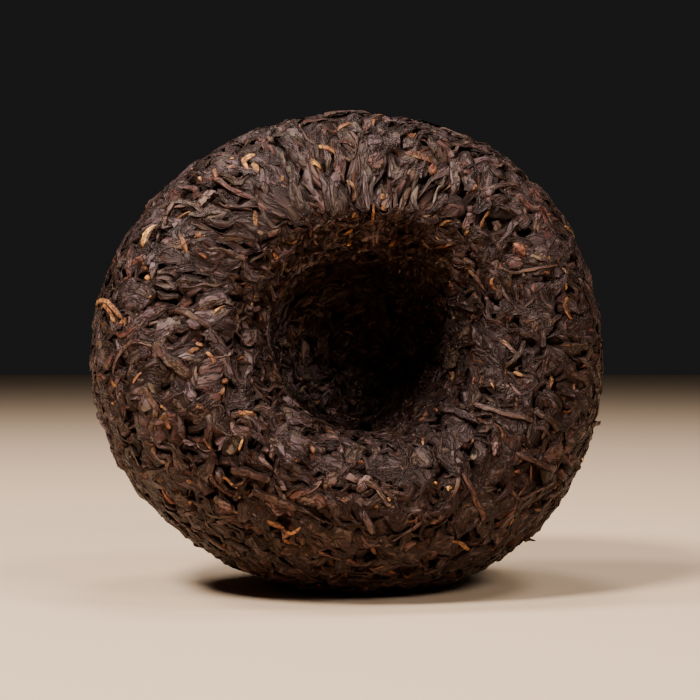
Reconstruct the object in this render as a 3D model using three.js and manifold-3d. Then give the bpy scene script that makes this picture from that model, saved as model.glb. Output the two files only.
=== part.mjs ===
// A nest of pressed ripe tea: a domed cake of tightly packed leaves with a thick rounded
// rim and a deep hollow. It stands on its edge, on a small flat spot, and the hollow
// looks forwards and a little up. Millimetres and degrees, +Z up, front towards -Y.
// The origin is on the flat spot, straight below the middle of the weight.

import * as THREE from "three";
import { mergeVertices } from "three/addons/utils/BufferGeometryUtils.js";
import Module from "manifold-3d";

// ---- The cake, measured along and across its own axis; depths run back from the rim
const WIDEST_DIAMETER = 100.8;
const WIDEST_DEPTH = 25;
const CAKE_DEPTH = 61;
const CREST_DIAMETER = 69.2;
const THROAT_DIAMETER = 39.4;
const THROAT_DEPTH = 17;
const HOLLOW_DEPTH = 42;
const FLANK_DIAMETER = 92.8;
const FLANK_DEPTH = 44;
const FLANK_TAPER = 19;

// ---- How full the curves between those sizes are, from 0, hollow, to 1, square
const DOME_FULLNESS = 0.62;
const SHOULDER_REACH = 10;
const FLANK_FULLNESS = 0.45;
const RIM_FULLNESS = 0.6;
const CIRCLE_FULLNESS = 0.5523;
const HOLLOW_FULLNESS = 0.4;
const FLOOR_FULLNESS = 0.6;

// ---- How the outline departs from a circle: lobes, share of the radius, clock angle
const OUTSIDE_LOBES = [
  [2, 0.024, 172],
  [3, 0.016, 60],
  [4, 0.006, 35],
  [5, 0.003, 43],
];
const THROAT_LOBES = [[2, 0.031, 87]];
const THROAT_SHIFT = { across: -0.9, up: 0.5 };

// ---- How the cake stands
const RIM_CENTRE = new THREE.Vector3(5.7, -28, 54.6);
const TILT_UP = 17.5;
const TURN_RIGHT = 11.5;

// ---- The mesh of the bare cake: its spacing, how near its poles come to the axis, and the
// steps used to measure along the outline
const MESH_SIZE = 3.3;
const POLE_SHARE = 0.001;
const FRAME_STEP = 0.004;
const SEARCH_STEP = 0.002;
const AREA_SAMPLES = 400;

// ---- Leaves pressed flush, which only raise the surface
const FLUSH_LEAVES = { count: 620, length: 13, width: 5.2, height: 1.5, seed: 11 };

// ---- Leaves and stalks that stand proud, fused on
const PROUD_LEAVES = { count: 44, length: 13, width: 2.8, thickness: 2.2, lift: 0.5, seed: 29 };
const STALKS = { count: 12, length: 18, width: 2, thickness: 2.2, lift: 0.6, seed: 47 };
const RING_POINTS = 5;
const LENGTH_STEPS = 5;

// ---- Flakes that break the outline: clock angle, depth on the outside, size, lift
const EDGE_FLAKES = [
  { clock: -17, depth: 30, length: 8, width: 4, thickness: 1.2, lift: 1.1, heading: 65 },
  { clock: -46, depth: 34, length: 9, width: 4, thickness: 1.2, lift: 1.3, heading: 80 },
  { clock: 172, depth: 17, length: 14, width: 1.9, thickness: 1.6, lift: 0.7, heading: 70 },
];

// ---- How the leaves lie: how far apart their directions change, and how near the throat
// they start to run straight into the hollow
const SWIRL_SIZE = 15;
const SWIRL_WAVES = 7;
const THROAT_REACH = 16;

const LEAF_COLOUR = 0x3b2a24;
const LEAF_ROUGHNESS = 0.62;

const GOLDEN_ANGLE = Math.PI * (3 - Math.sqrt(5));
const UP = new THREE.Vector3(0, 0, 1);

const radians = THREE.MathUtils.degToRad;

// A repeatable stream of numbers from 0 to 1.
function randomStream(seed) {
  let state = seed;
  return () => {
    state = (state + 0x6d2b79f5) | 0;
    let mixed = Math.imul(state ^ (state >>> 15), 1 | state);
    mixed = (mixed + Math.imul(mixed ^ (mixed >>> 7), 61 | mixed)) ^ mixed;
    return ((mixed ^ (mixed >>> 14)) >>> 0) / 4294967296;
  };
}

// ---- The cake's own directions in the room
const axisOut = new THREE.Vector3(
  Math.sin(radians(TURN_RIGHT)) * Math.cos(radians(TILT_UP)),
  -Math.cos(radians(TURN_RIGHT)) * Math.cos(radians(TILT_UP)),
  Math.sin(radians(TILT_UP)),
);
const across = new THREE.Vector3().crossVectors(UP, axisOut).normalize();
const upright = new THREE.Vector3().crossVectors(axisOut, across);

// Half the outline of a cut through the axis: x is the depth behind the rim, y the radius.
// It runs from the top of the dome over the flank and the rim to the hollow's floor.
function cakeOutline() {
  const widest = WIDEST_DIAMETER / 2;
  const crest = CREST_DIAMETER / 2;
  const throat = THROAT_DIAMETER / 2;
  const flank = FLANK_DIAMETER / 2;
  const slope = Math.tan(radians(FLANK_TAPER));
  const easing = FLANK_FULLNESS * (FLANK_DEPTH - WIDEST_DEPTH);
  const path = new THREE.Path();
  path.moveTo(CAKE_DEPTH, 0);
  path.bezierCurveTo(
    CAKE_DEPTH, DOME_FULLNESS * flank,
    FLANK_DEPTH + SHOULDER_REACH, flank - SHOULDER_REACH * slope,
    FLANK_DEPTH, flank,
  );
  path.bezierCurveTo(
    FLANK_DEPTH - easing, flank + easing * slope,
    WIDEST_DEPTH + easing, widest,
    WIDEST_DEPTH, widest,
  );
  path.bezierCurveTo(
    WIDEST_DEPTH * (1 - RIM_FULLNESS), widest,
    0, crest + (widest - crest) * CIRCLE_FULLNESS,
    0, crest,
  );
  path.bezierCurveTo(
    0, crest - (crest - throat) * CIRCLE_FULLNESS,
    THROAT_DEPTH * (1 - CIRCLE_FULLNESS), throat,
    THROAT_DEPTH, throat,
  );
  path.bezierCurveTo(
    THROAT_DEPTH + HOLLOW_FULLNESS * (HOLLOW_DEPTH - THROAT_DEPTH), throat,
    HOLLOW_DEPTH, FLOOR_FULLNESS * throat,
    HOLLOW_DEPTH, 0,
  );
  return path;
}

const outline = cakeOutline();
const outlineLength = outline.getLength();

function lobes(list, clock) {
  return list.reduce((sum, [count, amount, angle]) => (
    sum + amount * Math.cos(count * (clock - radians(angle)))
  ), 0);
}

// The point of the smooth cake at a share of the outline and a clock angle in radians.
function cakePoint(share, clock) {
  const { x: depth, y: radius } = outline.getPointAt(THREE.MathUtils.clamp(share, 0, 1));
  const widest = WIDEST_DIAMETER / 2;
  const throat = THROAT_DIAMETER / 2;
  const onFront = depth < WIDEST_DEPTH || share > 0.5;
  const inward = onFront ? THREE.MathUtils.smoothstep(widest - radius, 0, widest - throat) : 0;
  const uneven = lobes(OUTSIDE_LOBES, clock) * (1 - inward) + lobes(THROAT_LOBES, clock) * inward;
  const r = radius * (1 + uneven);
  return RIM_CENTRE.clone()
    .addScaledVector(axisOut, -depth)
    .addScaledVector(across, r * Math.cos(clock) + THROAT_SHIFT.across * inward)
    .addScaledVector(upright, r * Math.sin(clock) + THROAT_SHIFT.up * inward);
}

// The local directions of the cake's skin: along the outline, round the clock and out.
function skinFrame(share, clock) {
  const step = FRAME_STEP;
  const point = cakePoint(share, clock);
  const along = cakePoint(share + step, clock).sub(cakePoint(share - step, clock)).normalize();
  const around = cakePoint(share, clock + step).sub(cakePoint(share, clock - step)).normalize();
  const out = new THREE.Vector3().crossVectors(along, around).normalize();
  return { point, along, around, out };
}

// Where leaves lie, evenly spread over the skin: a spiral of golden turns whose step along
// the outline follows the length of the ring there.
function spreadOverSkin(count, turn) {
  const areas = [0];
  for (let i = 1; i <= AREA_SAMPLES; i += 1) {
    areas.push(areas[i - 1] + outline.getPointAt((i - 0.5) / AREA_SAMPLES).y);
  }
  const places = [];
  let row = 1;
  for (let i = 0; i < count; i += 1) {
    const wanted = ((i + 0.5) / count) * areas[AREA_SAMPLES];
    while (areas[row] < wanted) row += 1;
    const part = (wanted - areas[row - 1]) / (areas[row] - areas[row - 1]);
    places.push({ share: (row - 1 + part) / AREA_SAMPLES, clock: turn + i * GOLDEN_ANGLE });
  }
  return places;
}

// The directions that the leaves follow: a sum of slow waves, so that neighbours lie
// nearly alike and whole patches swirl. Near the throat they run along the outline.
function swirlField(seed) {
  const random = randomStream(seed);
  const waves = [];
  for (let i = 0; i < SWIRL_WAVES; i += 1) {
    const way = new THREE.Vector3(random() - 0.5, random() - 0.5, random() - 0.5);
    waves.push({ way: way.normalize().divideScalar(SWIRL_SIZE), shift: random() * 2 * Math.PI });
  }
  const throatShare = shareInside(THROAT_DEPTH);
  return (share, clock) => {
    const point = cakePoint(share, clock);
    const swirl = waves.reduce((sum, { way, shift }) => sum + Math.sin(way.dot(point) + shift), 0);
    const away = Math.abs(share - throatShare) * outlineLength;
    return swirl * THREE.MathUtils.smoothstep(away, 0, THROAT_REACH);
  };
}

// The share of the outline at a depth on the outside, between the dome and the rim.
function shareOutside(depth) {
  let share = 0;
  while (outline.getPointAt(share).x > depth) share += SEARCH_STEP;
  return share;
}

// The share of the outline at a depth inside the hollow, searched from its floor outwards.
function shareInside(depth) {
  let share = 1;
  while (outline.getPointAt(share).x > depth) share -= SEARCH_STEP;
  return share;
}

// Flush leaves, each a long low mound. The height at a point is the highest mound there.
function flushRelief(headings) {
  const random = randomStream(FLUSH_LEAVES.seed);
  const mounds = spreadOverSkin(FLUSH_LEAVES.count, 0.3).map(({ share, clock }) => {
    const { point, along, around } = skinFrame(share, clock);
    const heading = headings(share, clock) + 0.9 * (random() - 0.5);
    return {
      point,
      way: along.multiplyScalar(Math.cos(heading)).addScaledVector(around, Math.sin(heading)),
      halfLength: 0.5 * FLUSH_LEAVES.length * (0.7 + 0.6 * random()),
      halfWidth: 0.5 * FLUSH_LEAVES.width * (0.8 + 0.4 * random()),
      height: FLUSH_LEAVES.height * (0.45 + 0.55 * random()),
    };
  });
  const offset = new THREE.Vector3();
  return (point) => mounds.reduce((highest, mound) => {
    offset.subVectors(point, mound.point);
    const far = offset.lengthSq();
    if (far > mound.halfLength ** 2) return highest;
    const lengthways = offset.dot(mound.way);
    const sideways = Math.sqrt(Math.max(far - lengthways ** 2, 0));
    const inside = 1 - (lengthways / mound.halfLength) ** 2 - (sideways / mound.halfWidth) ** 2;
    return inside > 0 ? Math.max(highest, mound.height * Math.sqrt(inside)) : highest;
  }, 0);
}

// Triangles between two rings of vertices, numbered from their first vertex on. The next
// corner is taken from whichever ring is behind, and a ring of one is a pole.
function stitched(upper, lower) {
  const corner = (ring, i) => ring.first + (i % ring.count);
  const faces = [];
  let i = 0;
  let j = 0;
  const upperSteps = upper.count === 1 ? 0 : upper.count;
  const lowerSteps = lower.count === 1 ? 0 : lower.count;
  while (i + j < upperSteps + lowerSteps) {
    const upperNext = upperSteps ? (i + 1) / upperSteps : Infinity;
    const lowerNext = lowerSteps ? (j + 1) / lowerSteps : Infinity;
    if (upperNext < lowerNext) {
      faces.push(corner(upper, i), corner(upper, i + 1), corner(lower, j));
      i += 1;
    } else {
      faces.push(corner(upper, i), corner(lower, j + 1), corner(lower, j));
      j += 1;
    }
  }
  return faces;
}

// The bare cake: rings from the dome's top to the hollow's floor, each with as many
// vertices as its length asks for, so that the mesh is equally fine all over.
function bareCake(headings) {
  const relief = flushRelief(headings);
  const rowCount = Math.round(outlineLength / (MESH_SIZE * Math.sin(Math.PI / 3)));
  const places = [];
  const faces = [];
  let before = null;
  for (let row = 0; row <= rowCount; row += 1) {
    const share = THREE.MathUtils.clamp(row / rowCount, POLE_SHARE, 1 - POLE_SHARE);
    const girth = 2 * Math.PI * outline.getPointAt(row / rowCount).y;
    const ring = { first: places.length, count: Math.max(1, Math.round(girth / MESH_SIZE)) };
    for (let i = 0; i < ring.count; i += 1) {
      const { point, out } = skinFrame(share, (i / ring.count) * 2 * Math.PI);
      places.push(point.addScaledVector(out, relief(point) - FLUSH_LEAVES.height / 2));
    }
    if (before) faces.push(...stitched(before, ring));
    before = ring;
  }
  const geometry = new THREE.BufferGeometry();
  const flat = places.flatMap((place) => [place.x, place.y, place.z]);
  geometry.setAttribute("position", new THREE.Float32BufferAttribute(flat, 3));
  geometry.setIndex(faces);
  return geometry;
}

// A leaf or stalk: a spindle with few sides, laid along the skin and bent to follow it.
function leafOnSkin({ share, clock, heading, length, width, thickness, lift, curl }) {
  const spindle = new THREE.SphereGeometry(1, RING_POINTS, LENGTH_STEPS);
  const places = spindle.getAttribute("position");
  const local = new THREE.Vector3();
  for (let i = 0; i < places.count; i += 1) {
    local.fromBufferAttribute(places, i);
    const run = 0.5 * length * local.y;
    const way = heading + curl * local.y;
    const middle = outline.getPointAt(share);
    const radius = Math.max(middle.y, THROAT_DIAMETER / 4);
    const stationShare = share + (run * Math.cos(way)) / outlineLength;
    const stationClock = clock + (run * Math.sin(way)) / radius;
    const { point, along, around, out } = skinFrame(stationShare, stationClock);
    const lengthways = along.multiplyScalar(Math.cos(way)).addScaledVector(around, Math.sin(way));
    const sideways = new THREE.Vector3().crossVectors(lengthways, out).normalize();
    point.addScaledVector(sideways, 0.5 * width * local.x);
    point.addScaledVector(out, lift + 0.5 * thickness * local.z);
    places.setXYZ(i, point.x, point.y, point.z);
  }
  return spindle;
}

// A whole family of proud pieces, evenly spread, each with its own size and bend.
function scattered(family, headings) {
  const random = randomStream(family.seed);
  return spreadOverSkin(family.count, family.seed).map(({ share, clock }) => {
    const size = 0.75 + 0.5 * random();
    return leafOnSkin({
      share,
      clock,
      heading: headings(share, clock) + 0.8 * (random() - 0.5),
      length: family.length * size,
      width: family.width * (0.85 + 0.3 * random()),
      thickness: family.thickness,
      lift: family.lift,
      curl: 0.7 * (random() - 0.5),
    });
  });
}

function edgeFlakes() {
  return EDGE_FLAKES.map(({ clock, depth, heading, ...size }) => leafOnSkin({
    share: shareOutside(depth),
    clock: radians(clock),
    heading: radians(heading),
    curl: 0.25,
    ...size,
  }));
}

// ---- Joining and cutting
const wasm = await Module();
wasm.setup();

function toSolid(geometry) {
  const bare = geometry.clone();
  bare.deleteAttribute("normal");
  bare.deleteAttribute("uv");
  const merged = mergeVertices(bare, 1e-5);
  const corners = Array.from(merged.getIndex().array);
  const kept = [];
  for (let i = 0; i < corners.length; i += 3) {
    const [a, b, c] = corners.slice(i, i + 3);
    if (a !== b && b !== c && c !== a) kept.push(a, b, c);
  }
  return new wasm.Manifold(new wasm.Mesh({
    numProp: 3,
    vertProperties: new Float32Array(merged.getAttribute("position").array),
    triVerts: new Uint32Array(kept),
  }));
}

// Only the largest closed shell stays, so that no pocket is sealed in and no scrap is loose.
function largestShell(solid) {
  return solid.decompose().reduce((best, shell) => (
    shell.volume() > best.volume() ? shell : best
  ));
}

function toGeometry(solid) {
  const mesh = solid.getMesh();
  const geometry = new THREE.BufferGeometry();
  geometry.setAttribute("position", new THREE.BufferAttribute(mesh.vertProperties, 3));
  geometry.setIndex(new THREE.BufferAttribute(mesh.triVerts, 1));
  geometry.computeVertexNormals();
  return geometry;
}

// All below the table, which cuts the flat spot that the cake stands on.
function belowTable() {
  const size = 2 * WIDEST_DIAMETER;
  return new THREE.BoxGeometry(size, size, size).translate(0, 0, -size / 2);
}

function pressedCake() {
  const headings = swirlField(5);
  const pieces = [
    ...scattered(PROUD_LEAVES, headings),
    ...scattered(STALKS, headings),
    ...edgeFlakes(),
  ];
  const joined = pieces.reduce(
    (cake, piece) => cake.add(toSolid(piece)),
    toSolid(bareCake(headings)),
  );
  return toGeometry(largestShell(joined.subtract(toSolid(belowTable()))));
}

const leafMaterial = new THREE.MeshStandardMaterial({
  color: LEAF_COLOUR,
  roughness: LEAF_ROUGHNESS,
  metalness: 0,
});

const tuocha = new THREE.Mesh(pressedCake(), leafMaterial);
tuocha.name = "tuocha";

const nest = new THREE.Group();
nest.add(tuocha);

export default nest;
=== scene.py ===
"""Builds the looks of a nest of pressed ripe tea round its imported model.

The nest is a domed cake with a thick rounded rim and a deep hollow. Thousands of short
leaves, curled strips, stalks and golden tips are laid flush over a dark core, each one a
closed form of its own, bent along the skin of the cake. Lengths of the cake and of its
leaves are in millimetres; Blender's own units are metres.
"""

import logging
import math
from collections.abc import Sequence
from dataclasses import dataclass, field
from enum import Enum
from typing import Any

import bpy
import numpy as np
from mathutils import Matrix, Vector
from numpy.typing import NDArray

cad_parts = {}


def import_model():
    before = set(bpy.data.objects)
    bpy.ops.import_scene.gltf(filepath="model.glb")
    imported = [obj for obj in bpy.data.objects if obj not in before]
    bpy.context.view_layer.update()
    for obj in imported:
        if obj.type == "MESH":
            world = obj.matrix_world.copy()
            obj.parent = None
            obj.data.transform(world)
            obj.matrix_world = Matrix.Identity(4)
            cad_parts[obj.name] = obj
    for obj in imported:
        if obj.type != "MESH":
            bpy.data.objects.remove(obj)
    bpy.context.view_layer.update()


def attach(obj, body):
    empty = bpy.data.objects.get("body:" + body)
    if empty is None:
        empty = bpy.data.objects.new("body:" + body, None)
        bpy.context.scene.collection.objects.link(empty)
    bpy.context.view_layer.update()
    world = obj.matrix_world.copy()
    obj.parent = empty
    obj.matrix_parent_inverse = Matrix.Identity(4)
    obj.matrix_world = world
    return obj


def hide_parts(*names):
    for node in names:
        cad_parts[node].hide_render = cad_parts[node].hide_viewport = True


Array = NDArray[np.float64]
Colour = tuple[float, float, float]
Limits = tuple[float, float]
Pixel = tuple[float, float]

MM = 0.001
GOLDEN_ANGLE = math.pi * (3 - math.sqrt(5))
TAPER_POWER = 0.6
TIPS = 2
NOISE_MEAN = 0.5
# The Mix node's sockets for two colours and for the blended one, by number.
MIX_COLOURS = (6, 7)
MIX_RESULT = 2
BODY = "root"
NODE = "tuocha"

log = logging.getLogger("tea_nest")


def smooth_step(value: Array, low: Array | float, high: Array | float) -> Array:
    """Goes smoothly from 0 at low to 1 at high."""
    part = np.clip((value - low) / (high - low), 0, 1)
    return part * part * (3 - 2 * part)


def facing(clock: Array, angle: float) -> Array:
    """From 0 to 1, how nearly clock angles in radians point along one in degrees."""
    return (1 + np.cos(clock - math.radians(angle))) / 2


def tapered(reach: Array, bluntness: Array | float) -> Array:
    """How wide a leaf is along its length: 1 at its middle, 0 at reach -1 and 1."""
    return (1 - np.abs(reach) ** bluntness) ** TAPER_POWER


def bezier(points: Sequence[tuple[float, float]], steps: int) -> Array:
    """Samples a cubic curve.

    Args:
        points: Its start, two handles and end.
        steps: How many points to return, the end left out.

    Returns:
        The sampled points, one row each.
    """
    part = np.linspace(0, 1, steps, endpoint=False)[:, None]
    start, first, second, end = (np.array(point, float) for point in points)
    back = 1 - part
    return (
        back**3 * start
        + 3 * back**2 * part * first
        + 3 * back * part**2 * second
        + part**3 * end
    )


# ---------------------------------------------------------------- the cake's form


@dataclass
class Cake:
    """The smooth form of the cake and the skin that the leaves lie on.

    A place on the skin is a share of the outline, which runs from the top of the dome over
    the flank and the rim to the floor of the hollow, and a clock angle round the axis.
    """

    widest_diameter: float = 100.8
    widest_depth: float = 25
    cake_depth: float = 61
    crest_diameter: float = 69.2
    throat_diameter: float = 39.4
    throat_depth: float = 17
    hollow_depth: float = 42
    flank_diameter: float = 92.8
    flank_depth: float = 44
    flank_taper: float = 19

    dome_fullness: float = 0.62
    shoulder_reach: float = 10
    flank_fullness: float = 0.45
    rim_fullness: float = 0.6
    circle_fullness: float = 0.5523
    hollow_fullness: float = 0.4
    floor_fullness: float = 0.6

    outside_lobes: tuple[tuple[int, float, float], ...] = (
        (2, 0.024, 172),
        (3, 0.016, 60),
        (4, 0.006, 35),
        (5, 0.003, 43),
    )
    throat_lobes: tuple[tuple[int, float, float], ...] = ((2, 0.031, 87),)
    throat_shift: tuple[float, float] = (-0.9, 0.5)
    crest_pull: float = 10.5
    pull_angle: float = 92
    pull_focus: float = 2.5
    brow_drop: float = 3.1
    brow_fade: float = 12
    flats: tuple[tuple[float, float, float], ...] = ((-44, 1.5, 3), (122, 0.9, 8))
    front_share: float = 0.5
    smallest_ring: float = 4

    rim_centre: tuple[float, float, float] = (5.7, -28, 54.6)
    tilt_up: float = 17.5
    turn_right: float = 11.5

    curve_steps: int = 240
    table_steps: int = 1200
    nudge: float = 0.002

    def __post_init__(self) -> None:
        """Works out the cake's directions and measures along its outline."""
        up, right = math.radians(self.tilt_up), math.radians(self.turn_right)
        self.axis_out = np.array(
            [
                math.sin(right) * math.cos(up),
                -math.cos(right) * math.cos(up),
                math.sin(up),
            ]
        )
        across = np.cross([0, 0, 1], self.axis_out)
        self.across = across / np.linalg.norm(across)
        self.upright = np.cross(self.axis_out, self.across)
        points = self._outline()
        gaps = np.linalg.norm(np.diff(points, axis=0), axis=1)
        run = np.concatenate([[0], np.cumsum(gaps)])
        self.length = float(run[-1])
        self._shares = np.linspace(0, 1, self.table_steps)
        self._depths = np.interp(self._shares * self.length, run, points[:, 0])
        self._radii = np.interp(self._shares * self.length, run, points[:, 1])
        self.crest_share = float(self._shares[np.argmin(self._depths)])

    def _outline(self) -> Array:
        """Half the outline of a cut through the axis.

        Returns:
            Its points from dome to hollow: depths behind the rim and radii.
        """
        widest, crest = self.widest_diameter / 2, self.crest_diameter / 2
        throat, flank = self.throat_diameter / 2, self.flank_diameter / 2
        slope = math.tan(math.radians(self.flank_taper))
        easing = self.flank_fullness * (self.flank_depth - self.widest_depth)
        shoulder, circle = self.shoulder_reach, self.circle_fullness
        deep = self.hollow_depth - self.throat_depth
        curves = [
            [
                (self.cake_depth, 0),
                (self.cake_depth, self.dome_fullness * flank),
                (self.flank_depth + shoulder, flank - shoulder * slope),
                (self.flank_depth, flank),
            ],
            [
                (self.flank_depth, flank),
                (self.flank_depth - easing, flank + easing * slope),
                (self.widest_depth + easing, widest),
                (self.widest_depth, widest),
            ],
            [
                (self.widest_depth, widest),
                (self.widest_depth * (1 - self.rim_fullness), widest),
                (0, crest + (widest - crest) * circle),
                (0, crest),
            ],
            [
                (0, crest),
                (0, crest - (crest - throat) * circle),
                (self.throat_depth * (1 - circle), throat),
                (self.throat_depth, throat),
            ],
            [
                (self.throat_depth, throat),
                (self.throat_depth + self.hollow_fullness * deep, throat),
                (self.hollow_depth, self.floor_fullness * throat),
                (self.hollow_depth, 0),
            ],
        ]
        sampled = [bezier(curve, self.curve_steps) for curve in curves]
        return np.concatenate([*sampled, np.array([[self.hollow_depth, 0.0]])])

    @staticmethod
    def _lobes(lobes: Sequence[tuple[int, float, float]], clock: Array) -> Array:
        """How far the outline departs from a circle.

        Args:
            lobes: How many lobes go round, their height and the angle of the first.
            clock: Clock angles in radians.

        Returns:
            The departures, as shares of the radius.
        """
        total = np.zeros_like(clock)
        for count, amount, angle in lobes:
            total += amount * np.cos(count * (clock - math.radians(angle)))
        return total

    def _pulled(self, radius: Array, depth: Array, clock: Array, share: Array) -> Array:
        """Draws the rim's crest in towards the hollow on its upper side.

        Args:
            radius: Radii of the mean ring at each place.
            depth: Depths behind the rim.
            clock: Clock angles in radians.
            share: Shares of the outline.

        Returns:
            The radii with the crest drawn in and the throat's upper side lowered.
        """
        widest, crest = self.widest_diameter / 2, self.crest_diameter / 2
        throat = self.throat_diameter / 2
        part = facing(clock, self.pull_angle) ** self.pull_focus
        pull, drop = self.crest_pull * part, self.brow_drop * part
        inner = throat - drop + (radius - throat) * (1 - pull / (crest - throat))
        inset = (widest - radius) / (widest - crest)
        outer = radius - (pull + drop) * inset**2
        hollow = smooth_step(depth, self.throat_depth, self.throat_depth + self.brow_fade)
        deeper = radius - drop * (1 - hollow)
        inside = share > self.crest_share
        drawn = np.where(inside, np.where(depth < self.throat_depth, inner, deeper), outer)
        return np.where(inside | (depth < self.widest_depth), drawn, radius)

    def radius(self, share: Array) -> Array:
        """The mean radius of the ring at a share of the outline."""
        return np.interp(np.abs(share), self._shares, self._radii)

    def girth(self, share: Array) -> Array:
        """The ring's radius, kept off 0, by which lengths along the ring become angles."""
        return np.maximum(self.radius(np.clip(share, 0, 1)), self.smallest_ring)

    def depth(self, share: Array) -> Array:
        """The depth behind the rim at a share of the outline."""
        return np.interp(np.abs(share), self._shares, self._depths)

    def _smooth(self, share: Array, clock: Array) -> Array:
        """Finds points of the skin.

        Args:
            share: Shares of the outline, between the two poles.
            clock: Clock angles in radians.

        Returns:
            The points.
        """
        depth = np.interp(share, self._shares, self._depths)
        radius = np.interp(share, self._shares, self._radii)
        widest, throat = self.widest_diameter / 2, self.throat_diameter / 2
        front = (depth < self.widest_depth) | (share > self.front_share)
        inward = np.where(front, smooth_step(widest - radius, 0, widest - throat), 0)
        radius = self._pulled(radius, depth, clock, share)
        outside = self._lobes(self.outside_lobes, clock)
        inside = self._lobes(self.throat_lobes, clock)
        for angle, amount, focus in self.flats:
            outside = outside - amount / widest * facing(clock, angle) ** focus
        round_radius = radius * (1 + outside * (1 - inward) + inside * inward)
        sideways = round_radius * np.cos(clock) + self.throat_shift[0] * inward
        upwards = round_radius * np.sin(clock) + self.throat_shift[1] * inward
        return (
            np.array(self.rim_centre)
            - depth[..., None] * self.axis_out
            + sideways[..., None] * self.across
            + upwards[..., None] * self.upright
        )

    def place(
        self, share: Array, clock: Array, height: Array | float = 0.0
    ) -> tuple[Array, Array]:
        """Finds points over the skin.

        Args:
            share: Shares of the outline; past a pole the place wraps to its far side.
            clock: Clock angles in radians.
            height: How far over the skin the points are.

        Returns:
            The points and the directions that face away from the cake there.
        """
        share, clock = np.broadcast_arrays(share, clock)
        wrapped = (share < 0) | (share > 1)
        clock = np.where(wrapped, clock + math.pi, clock)
        share = np.where(share < 0, -share, np.where(share > 1, 2 - share, share))
        share = np.clip(share, self.nudge, 1 - self.nudge)
        point = self._smooth(share, clock)
        along = self._smooth(share + self.nudge, clock)
        along -= self._smooth(share - self.nudge, clock)
        around = self._smooth(share, clock + self.nudge)
        around -= self._smooth(share, clock - self.nudge)
        out = np.cross(around, along)
        out /= np.linalg.norm(out, axis=-1, keepdims=True)
        return point + np.asarray(height)[..., None] * out, out

    def spread(
        self, count: int, turn: float, jitter: float, rng: np.random.Generator
    ) -> tuple[Array, Array]:
        """Spreads places evenly over the skin, along a spiral of golden turns.

        Args:
            count: How many places.
            turn: Where the spiral starts, in radians.
            jitter: How far each place strays, as a share of the mean distance.
            rng: The source of the straying.

        Returns:
            The shares and the clock angles.
        """
        area = np.concatenate([[0], np.cumsum((self._radii[1:] + self._radii[:-1]) / 2)])
        wanted = (np.arange(count) + 0.5) / count * area[-1]
        share = np.interp(wanted, area, self._shares)
        clock = turn + np.arange(count) * GOLDEN_ANGLE
        skin = 2 * math.pi * area[-1] * self.length / (self.table_steps - 1)
        apart = math.sqrt(skin / count) * jitter
        share = share + rng.uniform(-apart, apart, count) / self.length
        clock = clock + rng.uniform(-apart, apart, count) / np.maximum(
            self.radius(np.clip(share, 0, 1)), apart
        )
        return share, clock


@dataclass
class Swirl:
    """The directions that the leaves follow, a sum of slow waves with a seed of its own.

    Neighbours lie nearly alike, and near the throat the leaves run into the hollow.
    """

    cake: Cake
    size: float = 12
    waves: int = 7
    strength: float = 0.65
    around: float = math.pi / 2
    throat_reach: float = 22
    throat_core: float = 0.15
    seed: int = 5

    def __post_init__(self) -> None:
        """Draws the waves."""
        rng = np.random.default_rng(self.seed)
        ways = rng.normal(size=(self.waves, 3))
        self._ways = ways / np.linalg.norm(ways, axis=1, keepdims=True) / self.size
        self._shifts = rng.uniform(0, 2 * math.pi, self.waves)
        depths = self.cake.depth(np.linspace(0, 1, self.cake.table_steps))
        inside = np.arange(self.cake.table_steps) > self.cake.table_steps / 2
        past = inside & (depths > self.cake.throat_depth)
        self._throat = float(np.argmax(past)) / self.cake.table_steps

    def heading(self, share: Array, clock: Array) -> Array:
        """Tells which way the leaves lie.

        Args:
            share: Shares of the outline.
            clock: Clock angles in radians.

        Returns:
            The angles from the outline's own direction, in radians.
        """
        points, _ = self.cake.place(share, clock)
        waves = np.sin(points @ self._ways.T + self._shifts).sum(-1)
        away = np.abs(share - self._throat) * self.cake.length
        away = smooth_step(away, self.throat_core * self.throat_reach, self.throat_reach)
        return away * (self.strength * waves + self.around)


@dataclass(frozen=True)
class Viewpoint:
    """Where the photograph was taken from, and its frame in pixels."""

    place: tuple[float, float, float] = (0, -358, 47.7)
    focal_pixels: float = 1750
    frame_pixels: int = 700
    sensor: float = 36

    @property
    def lens(self) -> float:
        """The focal length on the sensor, in millimetres."""
        return self.focal_pixels / self.frame_pixels * self.sensor

    def pixels(self, points: Array) -> tuple[Array, Array]:
        """Finds where points show in the photograph.

        Args:
            points: The points, in millimetres.

        Returns:
            Their pixels, across and down, and how far off they are.
        """
        off = points - np.array(self.place)
        away = off[..., 1]
        middle = self.frame_pixels / 2
        across = middle + self.focal_pixels * off[..., 0] / away
        down = middle - self.focal_pixels * off[..., 2] / away
        return np.stack([across, down], -1), away


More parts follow.
